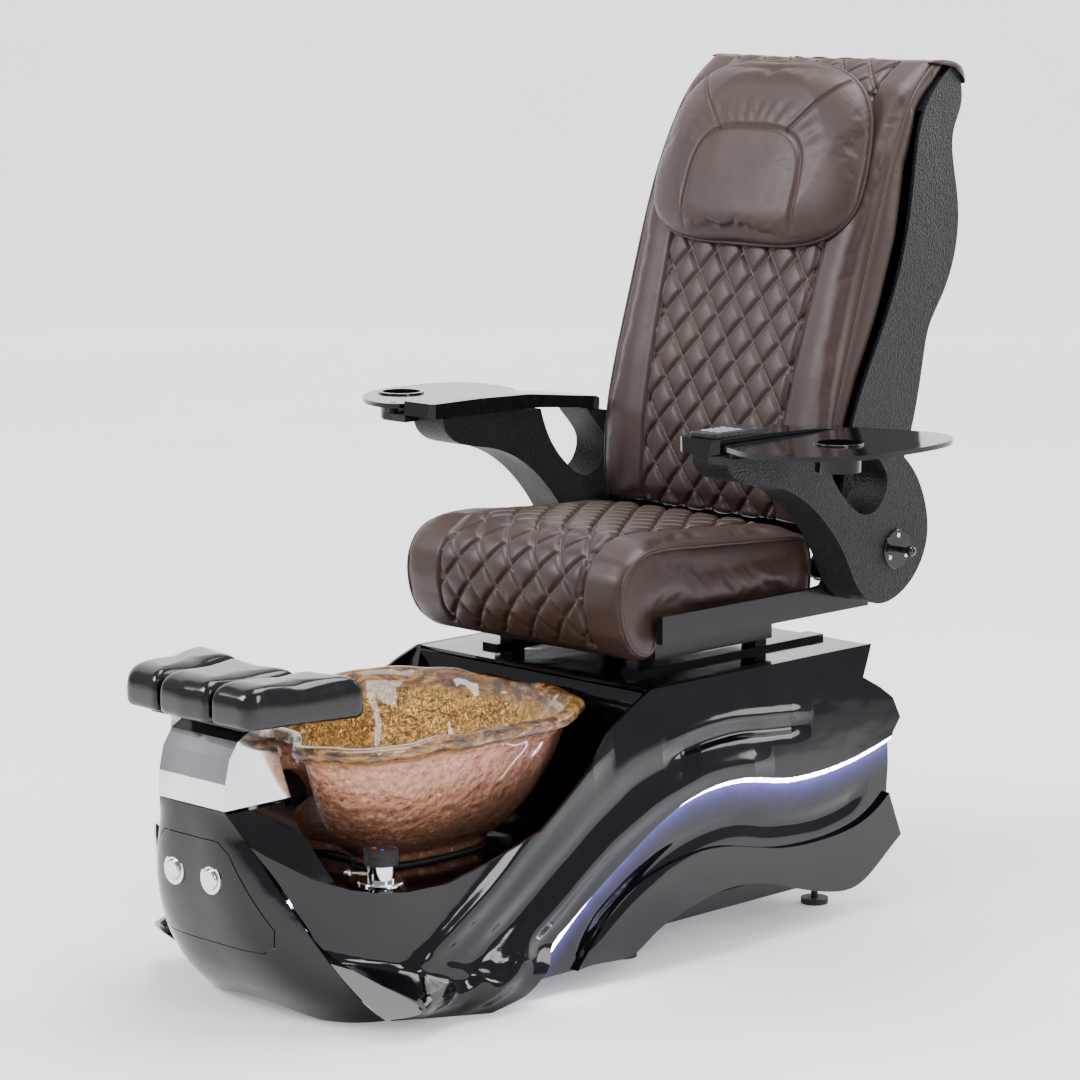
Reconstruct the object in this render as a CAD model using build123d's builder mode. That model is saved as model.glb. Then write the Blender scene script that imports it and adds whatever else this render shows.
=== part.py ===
from build123d import *
import math
import os

# Pedicure spa chair: a gloss shell base with a glass foot bowl, a footrest on a
# post, and a reclining massage seat that slides on rails.
# Millimetres.  +Z up, the sitter faces -Y, the sitter's left hand is on +X.
# The origin is on the floor, under the middle of the chair.

# ---------------------------------------------------------------- driving sizes
SKIN = 6.0                # wall of the shell mouldings
DECK_Z = 463.0            # top of the deck that carries the seat
DECK_FRONT_Y = -16.0
DECK_REAR_Y = 540.0
DECK_HALF = 268.0
FOOT_H = 40.0             # floor to the underside of the steel base frame
RECESS_Z = 212.0          # floor of the bowl recess
LIP_DROP = 1.5            # light strip sits this far under the lip
STRIP_H = 5.5
PANEL_IN = 280.0          # inner face of the lower side panels
PANEL_STEP = 288.0        # step between the middle and the lower wave
PANEL_OUT = 297.0
SHROUD_HALF = 79.0
SHROUD_SHEET = 2.0
POST_X = 50.0             # footrest post, width and depth
POST_Y = 44.0
POST_AT_Y = -680.0
POST_GAP = 0.3            # sliding clearance round the post
FOOTREST_TRAVEL = 60.0
PAD_BOTTOM_Z = 485.0
PAD_TOP_Z = 552.0
BUTTON_X = 44.0
BUTTON_Z = 239.0
BEZEL_R = 23.5
CAP_R = 16.5
BUTTON_TRAVEL = 4.0
BOWL_CENTRE = (0.0, -315.0)
BOWL_RIM_Z = 446.0
BOWL_LIP_H = 20.0
GLASS = 12.0
DRAIN_Y = -330.0
PIPE_R = 20.0
JET_R = 42.0
JET_TILT = 24.5           # the bowl's front wall leans forward by this angle
MIXER_AT = (205.0, -545.0)
MIXER_Z = 223.0
SEAT_HALF = 262.0
PAN_Z = 540.0
PEDESTAL = (-190.0, 190.0, 86.0, 377.0)
RAIL_X = 165.0
BACK_PIVOT = (445.0, 600.0)     # Y, Z
LEVER_R = 80.0
RECLINE = 25.0
ACTUATOR_Z = BACK_PIVOT[1] - LEVER_R * math.cos(math.radians(RECLINE / 2))
ROD_END_Y = BACK_PIVOT[0] + LEVER_R * math.sin(math.radians(RECLINE / 2))
ROD_R = 8.0
PIN_R = 6.0
RUN = 0.05                # radial running clearance of the pins
ARM_IN = 291.0
ARM_OUT = 366.0
ARM_PIVOT = (492.0, 645.0)      # Y, Z
ARM_STUD_R = 12.0
TRAY_Z = 858.0
TRAY_T = 8.0
CUP_R = 37.0
CUP_DEPTH = 44.0
BACK_SLOPE = 14.6         # lean of the massage track behind the back cushion

os.makedirs("parts", exist_ok=True)


def save(builder, name):
    """Label a finished piece and write its STEP file."""
    builder.part.label = name
    export_step(builder.part, f"parts/{name}.step")


def mirrored(points, side):
    """Plan points with X turned to the given side."""
    return [(side * x, y) for x, y in points]


def block(x0, x1, y0, y1, z0, z1, mode=Mode.ADD):
    """A box between two corners, inside the open part."""
    with BuildSketch(Plane.XY.offset(z0)) as section:
        with Locations(((x0 + x1) / 2, (y0 + y1) / 2)):
            Rectangle(abs(x1 - x0), abs(y1 - y0))
    extrude(section.sketch, amount=z1 - z0, mode=mode)


def tube_run(x0, x1, y0, y1, z0, z1, axis, wall=2.0):
    """A rectangular steel tube, open at both ends along its axis."""
    block(x0, x1, y0, y1, z0, z1)
    wx = 0.0 if axis == "X" else wall
    wy = 0.0 if axis == "Y" else wall
    wz = 0.0 if axis == "Z" else wall
    return (x0 + wx, x1 - wx, y0 + wy, y1 - wy, z0 + wz, z1 - wz)


def slab(points, x0, x1, curved=False):
    """A side profile (Y, Z) as a solid between two X positions."""
    with BuildPart() as piece:
        with BuildSketch(Plane.YZ.offset(x0)):
            with BuildLine():
                if curved:
                    Spline(*points, periodic=True)
                else:
                    Polyline(*points, close=True)
            make_face()
        extrude(amount=x1 - x0)
    return piece.part


def shifted(points, distance):
    """Offset an open plan curve to its left-hand side by a distance."""
    moved = []
    for i, (x, y) in enumerate(points):
        ax, ay = points[max(i - 1, 0)]
        bx, by = points[min(i + 1, len(points) - 1)]
        length = math.hypot(bx - ax, by - ay)
        moved.append((x - distance * (by - ay) / length, y + distance * (bx - ax) / length))
    return moved


def skin_section(points, z):
    """A thin band that follows an open plan curve, drawn at height z."""
    inner = shifted(points, SKIN)
    with BuildSketch(Plane.XY.offset(z)) as section:
        with BuildLine():
            Spline(*points)
            Line(points[-1], inner[-1])
            Spline(*inner)
            Line(inner[0], points[0])
        make_face()
    return section.sketch


# --------------------------------------------------------------- shared outlines
# Side view (Y, Z).  The light line runs under the lip of the shell from the rear,
# over the hump, and down to the floor behind the front foot.
LIGHT_LINE = [(570, 302), (500, 284), (433, 273), (350, 268), (290, 271), (205, 286), (130, 289),
              (43, 275), (-35, 243), (-110, 199), (-185, 150), (-259, 91), (-305, 52), (-337, 22)]
STEP_LINE = [(568, 193), (501, 155), (404, 140), (270, 146), (134, 172), (15, 166), (-75, 140),
             (-140, 98), (-205, 38)]
SKIRT_LINE = [(-205, 34), (-120, 34), (-74, 36), (-27, 60), (57, 88), (150, 104), (227, 99),
              (320, 74), (413, 50), (488, 49), (541, 77), (602, 119)]
RIM_LINE = [(-800, 358), (-754, 352), (-750, 347), (-747, 327), (-741, 312), (-731, 298), (-716, 284),
            (-673, 251), (-627, 232), (-587, 224), (-538, 219), (-466, 221), (-370, 249), (-286, 278),
            (-191, 348), (-125, 410), (-60, 445), (-16, 463)]
REAR_LINE = [(540, 463), (508, 410), (548, 388), (578, 366), (592, 330), (570, 306)]

SIDE_SECTIONS = [         # Z, then (X, Y) from the front crease to the rear
    (0, [(203, -527), (235, -480), (262, -430), (286, -386), (297, -320), (300, -200), (300, 200), (300, 604)]),
    (137, [(182, -648), (226, -598), (254, -532), (273, -460), (290, -370), (303, -200), (303, 200), (303, 604)]),
    (214, [(152.5, -687.5), (212, -648), (250, -582), (266, -497), (285, -398), (304, -200), (305, 200), (305, 604)]),
    (300, [(111, -732), (156, -700), (208, -645), (244, -560), (276, -430), (302, -200), (303, 200), (303, 604)]),
    (350, [(82.5, -748), (118, -728), (176, -676), (232, -582), (272, -447), (297, -200), (297, 200), (297, 604)]),
    (410, [(82.5, -748), (118, -728), (176, -676), (232, -582), (268, -447), (287, -200), (287, 200), (287, 604)]),
    (464, [(82.5, -748), (118, -728), (176, -676), (228, -582), (260, -447), (276, -200), (276, 200), (276, 604)]),
]


# ------------------------------------------------------------------- base shell
def side_shell(side):
    """Upper flank of the shell, from the front crease to the rear."""
    with BuildPart() as piece:
        loft([skin_section(points, z) for z, points in SIDE_SECTIONS])
        with BuildSketch(Plane.YZ.offset(40)):
            with BuildLine():
                Polyline(*RIM_LINE, *REAR_LINE)
                Line(REAR_LINE[-1], LIGHT_LINE[0])
                Spline(*LIGHT_LINE)
                Polyline(LIGHT_LINE[-1], (-386, 1), (-800, 1), RIM_LINE[0])
            make_face()
        extrude(amount=300, mode=Mode.INTERSECT)
        if side < 0:
            mirror(about=Plane.YZ, mode=Mode.REPLACE)
    return piece


for name, side in (("side_shell_left", 1), ("side_shell_right", -1)):
    save(side_shell(side), name)


FRONT_SECTIONS = [
    (0, [(-198, -532), (-150, -588), (0, -600), (150, -588), (198, -532)]),
    (137, [(-176, -652), (-116, -708), (0, -720), (116, -708), (176, -652)]),
    (214, [(-146, -691), (-96, -738), (0, -746), (96, -738), (146, -691)]),
    (350, [(-77, -752), (-45, -754), (0, -755), (45, -754), (77, -752)]),
]
PANEL_OUTLINE = [(-62, 303), (62, 303), (82, 286), (138, 165), (132, 136), (112, 124), (-112, 124),
                 (-132, 136), (-138, 165), (-82, 286)]


def front_skin():
    """The curved front of the console as one thin wall."""
    with BuildPart() as piece:
        loft([skin_section(points, z) for z, points in FRONT_SECTIONS])
    return piece.part


with BuildPart() as front_cowl:
    add(front_skin())
    with BuildSketch(Plane.XZ.offset(500)):
        with BuildLine():
            Polyline(*PANEL_OUTLINE, close=True)
        make_face()
    extrude(amount=400, mode=Mode.SUBTRACT)
    with BuildSketch(Plane.XZ.offset(500)):
        with BuildLine():
            ThreePointArc((-120, 0), (0, 16), (120, 0))
            Line((120, 0), (-120, 0))
        make_face()
    extrude(amount=400, mode=Mode.SUBTRACT)
save(front_cowl, "front_cowl")

with BuildPart() as control_panel:
    add(front_skin())
    with BuildSketch(Plane.XZ.offset(500)):
        with BuildLine():
            Polyline(*PANEL_OUTLINE, close=True)
        make_face()
        offset(amount=-1.5)
    extrude(amount=400, mode=Mode.INTERSECT)
    with BuildSketch(Plane.XZ.offset(500)):
        with Locations((-BUTTON_X, BUTTON_Z), (BUTTON_X, BUTTON_Z)):
            Circle(CAP_R + 3.5)
    extrude(amount=400, mode=Mode.SUBTRACT)
save(control_panel, "control_panel")

BEZEL_FACE_Y = -753.0
with BuildPart() as button_bezels:
    with BuildSketch(Plane.XZ.offset(-BEZEL_FACE_Y)):
        with Locations((-BUTTON_X, BUTTON_Z), (BUTTON_X, BUTTON_Z)):
            Circle(BEZEL_R)
    extrude(amount=-5)
    with BuildSketch(Plane.XZ.offset(-BEZEL_FACE_Y)):
        with Locations((-BUTTON_X, BUTTON_Z), (BUTTON_X, BUTTON_Z)):
            Circle(CAP_R + 3)
    extrude(amount=-42)
    with BuildSketch(Plane.XZ.offset(-BEZEL_FACE_Y)):
        with Locations((-BUTTON_X, BUTTON_Z), (BUTTON_X, BUTTON_Z)):
            Circle(CAP_R + 0.4)
    extrude(amount=-38, mode=Mode.SUBTRACT)
save(button_bezels, "button_bezels")


def button_cap(x):
    """A push cap with its plunger, free to travel into the bezel."""
    with BuildPart() as piece:
        with BuildSketch(Plane.XZ.offset(-BEZEL_FACE_Y + 5)):
            with Locations((x, BUTTON_Z)):
                Circle(CAP_R)
        extrude(amount=-18)
        fillet(piece.edges().group_by(Axis.Y)[0], 3)
        with BuildSketch(Plane.XZ.offset(-BEZEL_FACE_Y - 13)):
            with Locations((x, BUTTON_Z)):
                Circle(7)
        extrude(amount=-16)
    return piece


save(button_cap(BUTTON_X), "jet_button")
save(button_cap(-BUTTON_X), "light_button")

with BuildPart() as deck_plate:
    with BuildSketch(Plane.XY.offset(DECK_Z - SKIN)):
        with BuildLine():
            Polyline((DECK_HALF, DECK_FRONT_Y), (DECK_HALF, DECK_REAR_Y - 8), (-DECK_HALF, DECK_REAR_Y - 8),
                     (-DECK_HALF, DECK_FRONT_Y), close=True)
        make_face()
    extrude(amount=SKIN)
    with BuildSketch(Plane.XY.offset(DECK_Z)):
        with Locations((0, 260)):
            Rectangle(120, 160)
    extrude(amount=-SKIN, mode=Mode.SUBTRACT)
save(deck_plate, "deck_plate")

with BuildPart() as rear_panel:
    with BuildSketch(Plane.XZ.offset(-516)):
        with BuildLine():
            Polyline((-277, 100), (277, 100), (277, 312), (288, 318), (274, 410), (262, 452),
                     (-262, 452), (-274, 410), (-288, 318), (-277, 312), close=True)
        make_face()
    extrude(amount=-4)
    with BuildSketch(Plane.XZ.offset(-516)):
        with Locations((0, 134)):
            Circle(PIPE_R + 4)
        with Locations((90, 160), (150, 160)):
            Circle(14)
    extrude(amount=-4, mode=Mode.SUBTRACT)
save(rear_panel, "rear_panel")

# The recess under the bowl: a floor and a rear wall, with a raised front shoulder
# that carries the chrome shroud.
RECESS_TOP = [(-700, 266), (-673, 245), (-627, 226), (-587, 219), (-545, 216), (-500, RECESS_Z), (-150, RECESS_Z), (-112, 236), (-78, 300),
              (-48, 370), (-28, 430), (-22, 456)]
RECESS_PLAN = [(104, -698), (150, -672), (196, -634), (232, -590), (248, -530), (262, -440), (280, -320), (288, -210), (284, -150), (268, -80),
               (262, -22)]
SHOULDER_TOP = [(-74, -742), (74, -742), (74, -630), (-74, -630)]
SHOULDER_FOOT = [(-112, -696), (112, -696), (148, -592), (-148, -592)]


def shoulder(drop):
    """The raised front of the recess as a solid, lowered by a distance."""
    with BuildPart() as piece:
        with BuildSketch(Plane.XY.offset(344 - drop)):
            with BuildLine():
                Polyline(*SHOULDER_TOP, close=True)
            make_face()
        with BuildSketch(Plane.XY.offset(224 - drop)):
            with BuildLine():
                Polyline(*SHOULDER_FOOT, close=True)
            make_face()
        loft(ruled=True)
    return piece.part


with BuildPart() as basin_surround:
    with BuildSketch(Plane.YZ.offset(-300)):
        with BuildLine():
            lower = [(y + (3 if z > 300 else 0), z - SKIN) for y, z in RECESS_TOP]
            Polyline(*RECESS_TOP, *reversed(lower), close=True)
        make_face()
    extrude(amount=600)
    with BuildSketch(Plane.XY.offset(150)):
        with BuildLine():
            Polyline(*RECESS_PLAN, *reversed(mirrored(RECESS_PLAN, -1)), close=True)
        make_face()
    extrude(amount=320, mode=Mode.INTERSECT)
    add(shoulder(0))
    add(shoulder(SKIN), mode=Mode.SUBTRACT)
    with BuildSketch(Plane.XY.offset(360)):
        with Locations((0, POST_AT_Y)):
            Rectangle(POST_X + 26, POST_Y + 24)
    extrude(amount=-60, mode=Mode.SUBTRACT)
    with BuildSketch(Plane.XY.offset(260)):
        with Locations((0, DRAIN_Y)):
            Circle(26)
        with Locations(MIXER_AT):
            Circle(21)
    extrude(amount=-90, mode=Mode.SUBTRACT)
save(basin_surround, "basin_surround")


# ----------------------------------------------------------- lower side panels
def lifted(points, dz):
    return [(y, z + dz) for y, z in points]


def lower_panel(side):
    """Lower flank: the middle wave, and the skirt wave that stands proud of it."""
    top = [p for p in lifted(LIGHT_LINE, 12) if p[0] >= -259]
    step = [p for p in lifted(STEP_LINE, 6) if p[0] >= -140]
    with BuildPart() as piece:
        with BuildSketch(Plane.YZ.offset(PANEL_IN)):
            with BuildLine():
                Spline(*top)
                Polyline(top[-1], (-300, 34), SKIRT_LINE[0])
                Spline(*SKIRT_LINE)
                Polyline(SKIRT_LINE[-1], (570, 193), (574, 250), top[0])
            make_face()
        extrude(amount=PANEL_STEP - PANEL_IN)
        with BuildSketch(Plane.YZ.offset(PANEL_STEP)):
            with BuildLine():
                Spline(*step)
                Line(step[-1], SKIRT_LINE[0])
                Spline(*SKIRT_LINE)
                Polyline(SKIRT_LINE[-1], (570, 193), step[0])
            make_face()
        extrude(amount=PANEL_OUT - PANEL_STEP)
        if side < 0:
            mirror(about=Plane.YZ, mode=Mode.REPLACE)
    return piece


for name, side in (("lower_panel_left", 1), ("lower_panel_right", -1)):
    save(lower_panel(side), name)


def light_strip(side):
    """A slim light strip that follows the lip of the shell."""
    run = [p for p in LIGHT_LINE if p[0] >= -305]
    upper = lifted(run, -LIP_DROP)
    lower = lifted(run, -LIP_DROP - STRIP_H)
    with BuildPart() as piece:
        with BuildSketch(Plane.YZ.offset(PANEL_STEP + 0.3)):
            with BuildLine():
                Spline(*upper)
                Line(upper[-1], lower[-1])
                Spline(*reversed(lower))
                Line(lower[0], upper[0])
            make_face()
        extrude(amount=7)
        if side < 0:
            mirror(about=Plane.YZ, mode=Mode.REPLACE)
    return piece


for name, side in (("light_strip_left", 1), ("light_strip_right", -1)):
    save(light_strip(side), name)

# ------------------------------------------------------------------ base frame
FRAME_X = 200.0
TUBE = 30.0
with BuildPart() as base_frame:
    cores = []
    for sx in (-1, 1):
        x = sx * FRAME_X
        cores.append(tube_run(x - 15, x + 15, -470, 500, FOOT_H, FOOT_H + TUBE, "Y"))
        for y in (20, 470):
            cores.append(tube_run(x - 15, x + 15, y, y + TUBE, FOOT_H, 456, "Z"))
    for y in (-470, -15, 470):
        cores.append(tube_run(-FRAME_X - 15, FRAME_X + 15, y, y + TUBE, FOOT_H, FOOT_H + TUBE, "X"))
    for y in (20, 470):
        cores.append(tube_run(-FRAME_X - 15, FRAME_X + 15, y, y + TUBE, 456 - TUBE, 456, "X"))
    block(-30, 30, -470, -440, FOOT_H + TUBE, 168)
    for core in cores:
        block(*core, mode=Mode.SUBTRACT)
save(base_frame, "base_frame")

with BuildPart() as levelling_feet:
    spots = [(x, y) for x in (-FRAME_X, FRAME_X) for y in (-430, 0, 485)] + [(0, 0)]
    with BuildSketch(Plane.XY):
        with Locations(*spots):
            Circle(24)
    extrude(amount=10)
    with BuildSketch(Plane.XY.offset(10)):
        with Locations(*spots):
            Circle(6)
    extrude(amount=FOOT_H - 10)
save(levelling_feet, "levelling_feet")

with BuildPart() as footrest_sleeve:
    block(-POST_X / 2 - 6, POST_X / 2 + 6, POST_AT_Y - POST_Y / 2 - 5, POST_AT_Y + POST_Y / 2 + 5, 172, 334)
    block(-30, 30, POST_AT_Y + POST_Y / 2, -440, 172, 196)
    block(-POST_X / 2 - POST_GAP, POST_X / 2 + POST_GAP, POST_AT_Y - POST_Y / 2 - POST_GAP,
          POST_AT_Y + POST_Y / 2 + POST_GAP, 172, 334, mode=Mode.SUBTRACT)
    block(-30, 30, -470, -440, 168, 172)
save(footrest_sleeve, "footrest_sleeve")

SHROUD_SIDE = [(-752, 351), (-750, 392), (-741, 430), (-724, 455), (-700, 469), (-668, 475), (-652, 470),
               (-640, 412), (-618, 352)]


def inset_shroud():
    """Inside of the shroud: open at the bottom, one sheet smaller all round."""
    return [(-750, 340), (-748, 392), (-739, 429), (-722.5, 453.5), (-699.5, 467), (-668, 473),
            (-653.8, 469), (-642, 412), (-620, 340)]


with BuildPart() as chrome_shroud:
    with BuildSketch(Plane.YZ.offset(-SHROUD_HALF)):
        with BuildLine():
            Polyline(*SHROUD_SIDE, close=True)
        make_face()
    extrude(amount=2 * SHROUD_HALF)
    with BuildSketch(Plane.YZ.offset(-SHROUD_HALF + SHROUD_SHEET)):
        with BuildLine():
            Polyline(*inset_shroud(), close=True)
        make_face()
    extrude(amount=2 * (SHROUD_HALF - SHROUD_SHEET), mode=Mode.SUBTRACT)
    block(-POST_X / 2 - 3, POST_X / 2 + 3, POST_AT_Y - POST_Y / 2 - 3, POST_AT_Y + POST_Y / 2 + 3, 430, 490,
          mode=Mode.SUBTRACT)
save(chrome_shroud, "chrome_shroud")

# -------------------------------------------------------------------- footrest
with BuildPart() as footrest_post:
    block(-POST_X / 2, POST_X / 2, POST_AT_Y - POST_Y / 2, POST_AT_Y + POST_Y / 2, 178, 478)
    block(-POST_X / 2 + 4, POST_X / 2 - 4, POST_AT_Y - POST_Y / 2 + 4, POST_AT_Y + POST_Y / 2 - 4, 178, 470,
          mode=Mode.SUBTRACT)
    block(-110, 110, -738, -622, 478, PAD_BOTTOM_Z - 0.3)
save(footrest_post, "footrest_post")

CENTRE_PAD = [(-58, -768), (0, -772), (58, -768), (79, -590), (0, -596), (-79, -590)]
WING_PAD = [(63, -767), (140, -764), (152, -752), (193, -566), (184, -558), (84, -572)]


def foot_pad(outline):
    """One moulded pad of the footrest with a rounded top edge."""
    with BuildPart() as piece:
        with BuildSketch(Plane.XY.offset(PAD_BOTTOM_Z)):
            with BuildLine():
                Polyline(*outline, close=True)
            make_face()
        extrude(amount=PAD_TOP_Z - PAD_BOTTOM_Z)
        fillet(piece.faces().sort_by(Axis.Z)[-1].edges(), 9)
    return piece


save(foot_pad(CENTRE_PAD), "footrest_pad_centre")
save(foot_pad(WING_PAD), "footrest_pad_left")
save(foot_pad(mirrored(WING_PAD, -1)), "footrest_pad_right")

# ------------------------------------------------------------------------ bowl
RIM = [(0, -600), (50, -602), (92, -622), (118, -656), (160, -664), (212, -622), (252, -535), (270, -420),
       (270, -290), (254, -165), (208, -88), (125, -48), (0, -36)]
BODY = [(236, 0.52), (285, 0.68), (345, 0.80), (400, 0.87), (BOWL_RIM_Z - BOWL_LIP_H, 0.91)]
WALL_STEP = 0.05


def bowl_outline(scale):
    """The lobed outline of the rim, drawn in towards the bowl's centre."""
    cx, cy = BOWL_CENTRE
    half = [(cx + scale * (x - cx), cy + scale * (y - cy)) for x, y in RIM]
    return half + [(-x, y) for x, y in reversed(half[1:-1])]


def bowl_loft(sections):
    with BuildPart() as piece:
        for z, scale in sections:
            with BuildSketch(Plane.XY.offset(z)):
                with BuildLine():
                    Spline(*bowl_outline(scale), periodic=True)
                make_face()
        loft()
    return piece.part


with BuildPart() as glass_bowl:
    add(bowl_loft(BODY))
    with BuildSketch(Plane.XY.offset(BOWL_RIM_Z - BOWL_LIP_H)):
        with BuildLine():
            Spline(*bowl_outline(1.0), periodic=True)
        make_face()
    extrude(amount=BOWL_LIP_H)
    with BuildSketch(Plane.XY.offset(RECESS_Z + 3)):
        with BuildLine():
            Spline(*bowl_outline(0.46), periodic=True)
        make_face()
    extrude(amount=236 - RECESS_Z - 3)
    with BuildSketch(Plane.XY.offset(RECESS_Z + 3)):
        with BuildLine():
            Spline(*bowl_outline(0.40), periodic=True)
        make_face()
    extrude(amount=236 - RECESS_Z - 3, mode=Mode.SUBTRACT)
    add(bowl_loft([(248, 0.46)] + [(z, k - WALL_STEP) for z, k in BODY[1:]] + [(BOWL_RIM_Z, 0.885)]),
        mode=Mode.SUBTRACT)
    with BuildSketch(Plane.XY.offset(230)):
        with Locations((0, DRAIN_Y)):
            Circle(24)
    extrude(amount=30, mode=Mode.SUBTRACT)
save(glass_bowl, "glass_bowl")

with BuildPart() as bowl_seal:
    for scale, mode in ((0.455, Mode.ADD), (0.405, Mode.SUBTRACT)):
        with BuildSketch(Plane.XY.offset(RECESS_Z)):
            with BuildLine():
                Spline(*bowl_outline(scale), periodic=True)
            make_face()
        extrude(amount=3, mode=mode)
save(bowl_seal, "bowl_seal")

with BuildPart() as bowl_drain:
    with BuildSketch(Plane.XY.offset(248)):
        with Locations((0, DRAIN_Y)):
            Circle(35)
    extrude(amount=5)
    fillet(bowl_drain.faces().sort_by(Axis.Z)[-1].edges(), 2)
    with BuildSketch(Plane.XY.offset(186)):
        with Locations((0, DRAIN_Y)):
            Circle(23)
    extrude(amount=62)
    with BuildSketch(Plane.XY.offset(248)):
        with Locations((0, DRAIN_Y)):
            with PolarLocations(14, 8):
                Circle(3.4)
            Circle(4)
    extrude(amount=5, mode=Mode.SUBTRACT)
    with BuildSketch(Plane.XY.offset(186)):
        with Locations((0, DRAIN_Y)):
            Circle(PIPE_R + RUN)
    extrude(amount=62, mode=Mode.SUBTRACT)
save(bowl_drain, "bowl_drain")

PIPE_Z = 134.0
PIPE_END_Y = 592.0
COLLAR_R = 21.5
INLET_R = 10.48           # G1/2 thread, drawn plain
INLETS_X = (90, 150)
with BuildPart() as waste_pipe:
    with BuildLine() as route:
        FilletPolyline((0, DRAIN_Y, 225), (0, DRAIN_Y, PIPE_Z), (0, PIPE_END_Y, PIPE_Z), radius=45)
    with BuildSketch(Plane.XY.offset(225)):
        with Locations((0, DRAIN_Y)):
            Circle(PIPE_R)
            Circle(PIPE_R - 3, mode=Mode.SUBTRACT)
    sweep(path=route.line)
    with BuildSketch(Plane.XZ.offset(-PIPE_END_Y + 1)):
        with Locations((0, PIPE_Z)):
            Circle(COLLAR_R)
            Circle(PIPE_R - 1.5, mode=Mode.SUBTRACT)
    extrude(amount=40)
save(waste_pipe, "waste_pipe")

with BuildPart() as water_inlets:
    for x in INLETS_X:
        with BuildSketch(Plane.XZ.offset(-480)):
            with Locations((x, 160)):
                Circle(INLET_R)
                Circle(7, mode=Mode.SUBTRACT)
        extrude(amount=-90)
        with BuildSketch(Plane.XZ.offset(-520.3)):
            with Locations((x, 160)):
                RegularPolygon(17, 6)
                Circle(7, mode=Mode.SUBTRACT)
        extrude(amount=-10)
    block(68, 172, 466, 480, 142, 178)
save(water_inlets, "water_inlets")

# Pipeless jet: a cover and impeller inside the bowl's front wall, and a motor
# behind the glass that turns it by magnets.
WALL_POINT = Vector(0, -526.5, 353.5)
tilt = math.radians(JET_TILT)
JET_AXIS = Vector(0, math.cos(tilt), math.sin(tilt))
jet_plane = Plane(origin=WALL_POINT, x_dir=(1, 0, 0), z_dir=JET_AXIS)

with BuildPart() as jet_housing:
    with BuildSketch(jet_plane):
        Circle(JET_R)
    extrude(amount=24)
    fillet(jet_housing.edges().sort_by(Axis.Y)[-1], 4)
    with BuildSketch(jet_plane.offset(4)):
        Circle(JET_R - 5)
    extrude(amount=16, mode=Mode.SUBTRACT)
    with BuildSketch(jet_plane.offset(20)):
        Circle(9)
        with PolarLocations(23, 10):
            SlotOverall(18, 5)
    extrude(amount=4, mode=Mode.SUBTRACT)
    with BuildSketch(jet_plane.offset(4)):
        Circle(3)
    extrude(amount=14)
save(jet_housing, "jet_housing")

with BuildPart() as jet_impeller:
    with BuildSketch(jet_plane.offset(5)):
        Circle(30)
    extrude(amount=4)
    with BuildSketch(jet_plane.offset(9)):
        Circle(9)
        with PolarLocations(18, 6):
            Rectangle(22, 3)
    extrude(amount=8)
    with BuildSketch(jet_plane.offset(5)):
        Circle(3 + RUN)
    extrude(amount=12, mode=Mode.SUBTRACT)
save(jet_impeller, "jet_impeller")

with BuildPart() as jet_motor:
    with BuildSketch(jet_plane.offset(-20.5)):
        Circle(30)
    extrude(amount=-30)
    with BuildSketch(jet_plane.offset(-50.5)):
        Circle(18)
    extrude(amount=-8)
save(jet_motor, "jet_motor")

# ----------------------------------------------------------------------- mixer
mx, my = MIXER_AT
with BuildPart() as mixer_body:
    with BuildSketch(Plane.XY.offset(MIXER_Z)):
        with Locations(MIXER_AT):
            Circle(37)
    extrude(amount=7)
    fillet(mixer_body.faces().sort_by(Axis.Z)[-1].edges(), 3)
    with BuildSketch(Plane.XY.offset(MIXER_Z)):
        with Locations(MIXER_AT):
            Circle(20)
    extrude(amount=-70)
    with BuildSketch(Plane.XY.offset(MIXER_Z + 7)):
        with Locations(MIXER_AT):
            Circle(10)
    extrude(amount=12)
save(mixer_body, "mixer_body")

with BuildPart() as mixer_sleeve:
    with BuildSketch(Plane.XY.offset(MIXER_Z + 7.3)):
        with Locations(MIXER_AT):
            Circle(22)
    extrude(amount=25)
    with BuildSketch(Plane.XY.offset(MIXER_Z + 7.3)):
        with Locations(MIXER_AT):
            Circle(10 + RUN)
    extrude(amount=25, mode=Mode.SUBTRACT)
    with BuildSketch(Plane(origin=(mx - 12, my - 12, MIXER_Z + 17), x_dir=(0, 0, 1), z_dir=(-1, -1, 0))):
        Circle(3)
    extrude(amount=32)
    with Locations((mx - 36, my - 36, MIXER_Z + 17)):
        Sphere(6.5)
save(mixer_sleeve, "mixer_sleeve")

with BuildPart() as mixer_knob:
    with BuildSketch(Plane.XY.offset(MIXER_Z + 32.6)):
        with Locations(MIXER_AT):
            Circle(27)
    extrude(amount=24)
    fillet(mixer_knob.faces().sort_by(Axis.Z)[-1].edges(), 2)
    with BuildSketch(Plane.XY.offset(MIXER_Z + 32.6)):
        with Locations(MIXER_AT):
            Circle(10)
    extrude(amount=-12)
save(mixer_knob, "mixer_knob")

with BuildPart() as control_box:
    block(-120, 40, 300, 420, 74, 106)
    fillet(control_box.edges().filter_by(Axis.Z), 6)
save(control_box, "control_box")

# ------------------------------------------------------------- seat and slides
with BuildPart() as slide_rails:
    for sx in (-1, 1):
        x = sx * RAIL_X
        block(x - 18, x + 18, 50, 520, DECK_Z, DECK_Z + 8)
save(slide_rails, "slide_rails")

px0, px1, py0, py1 = PEDESTAL
PEDESTAL_BOTTOM = 484.0
with BuildPart() as seat_glides:
    for x in (-RAIL_X, RAIL_X):
        for y in (py0 + 18, py1 - 18):
            block(x - 16, x + 16, y - 14, y + 14, DECK_Z + 8.3, PEDESTAL_BOTTOM)
save(seat_glides, "seat_glides")

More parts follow.
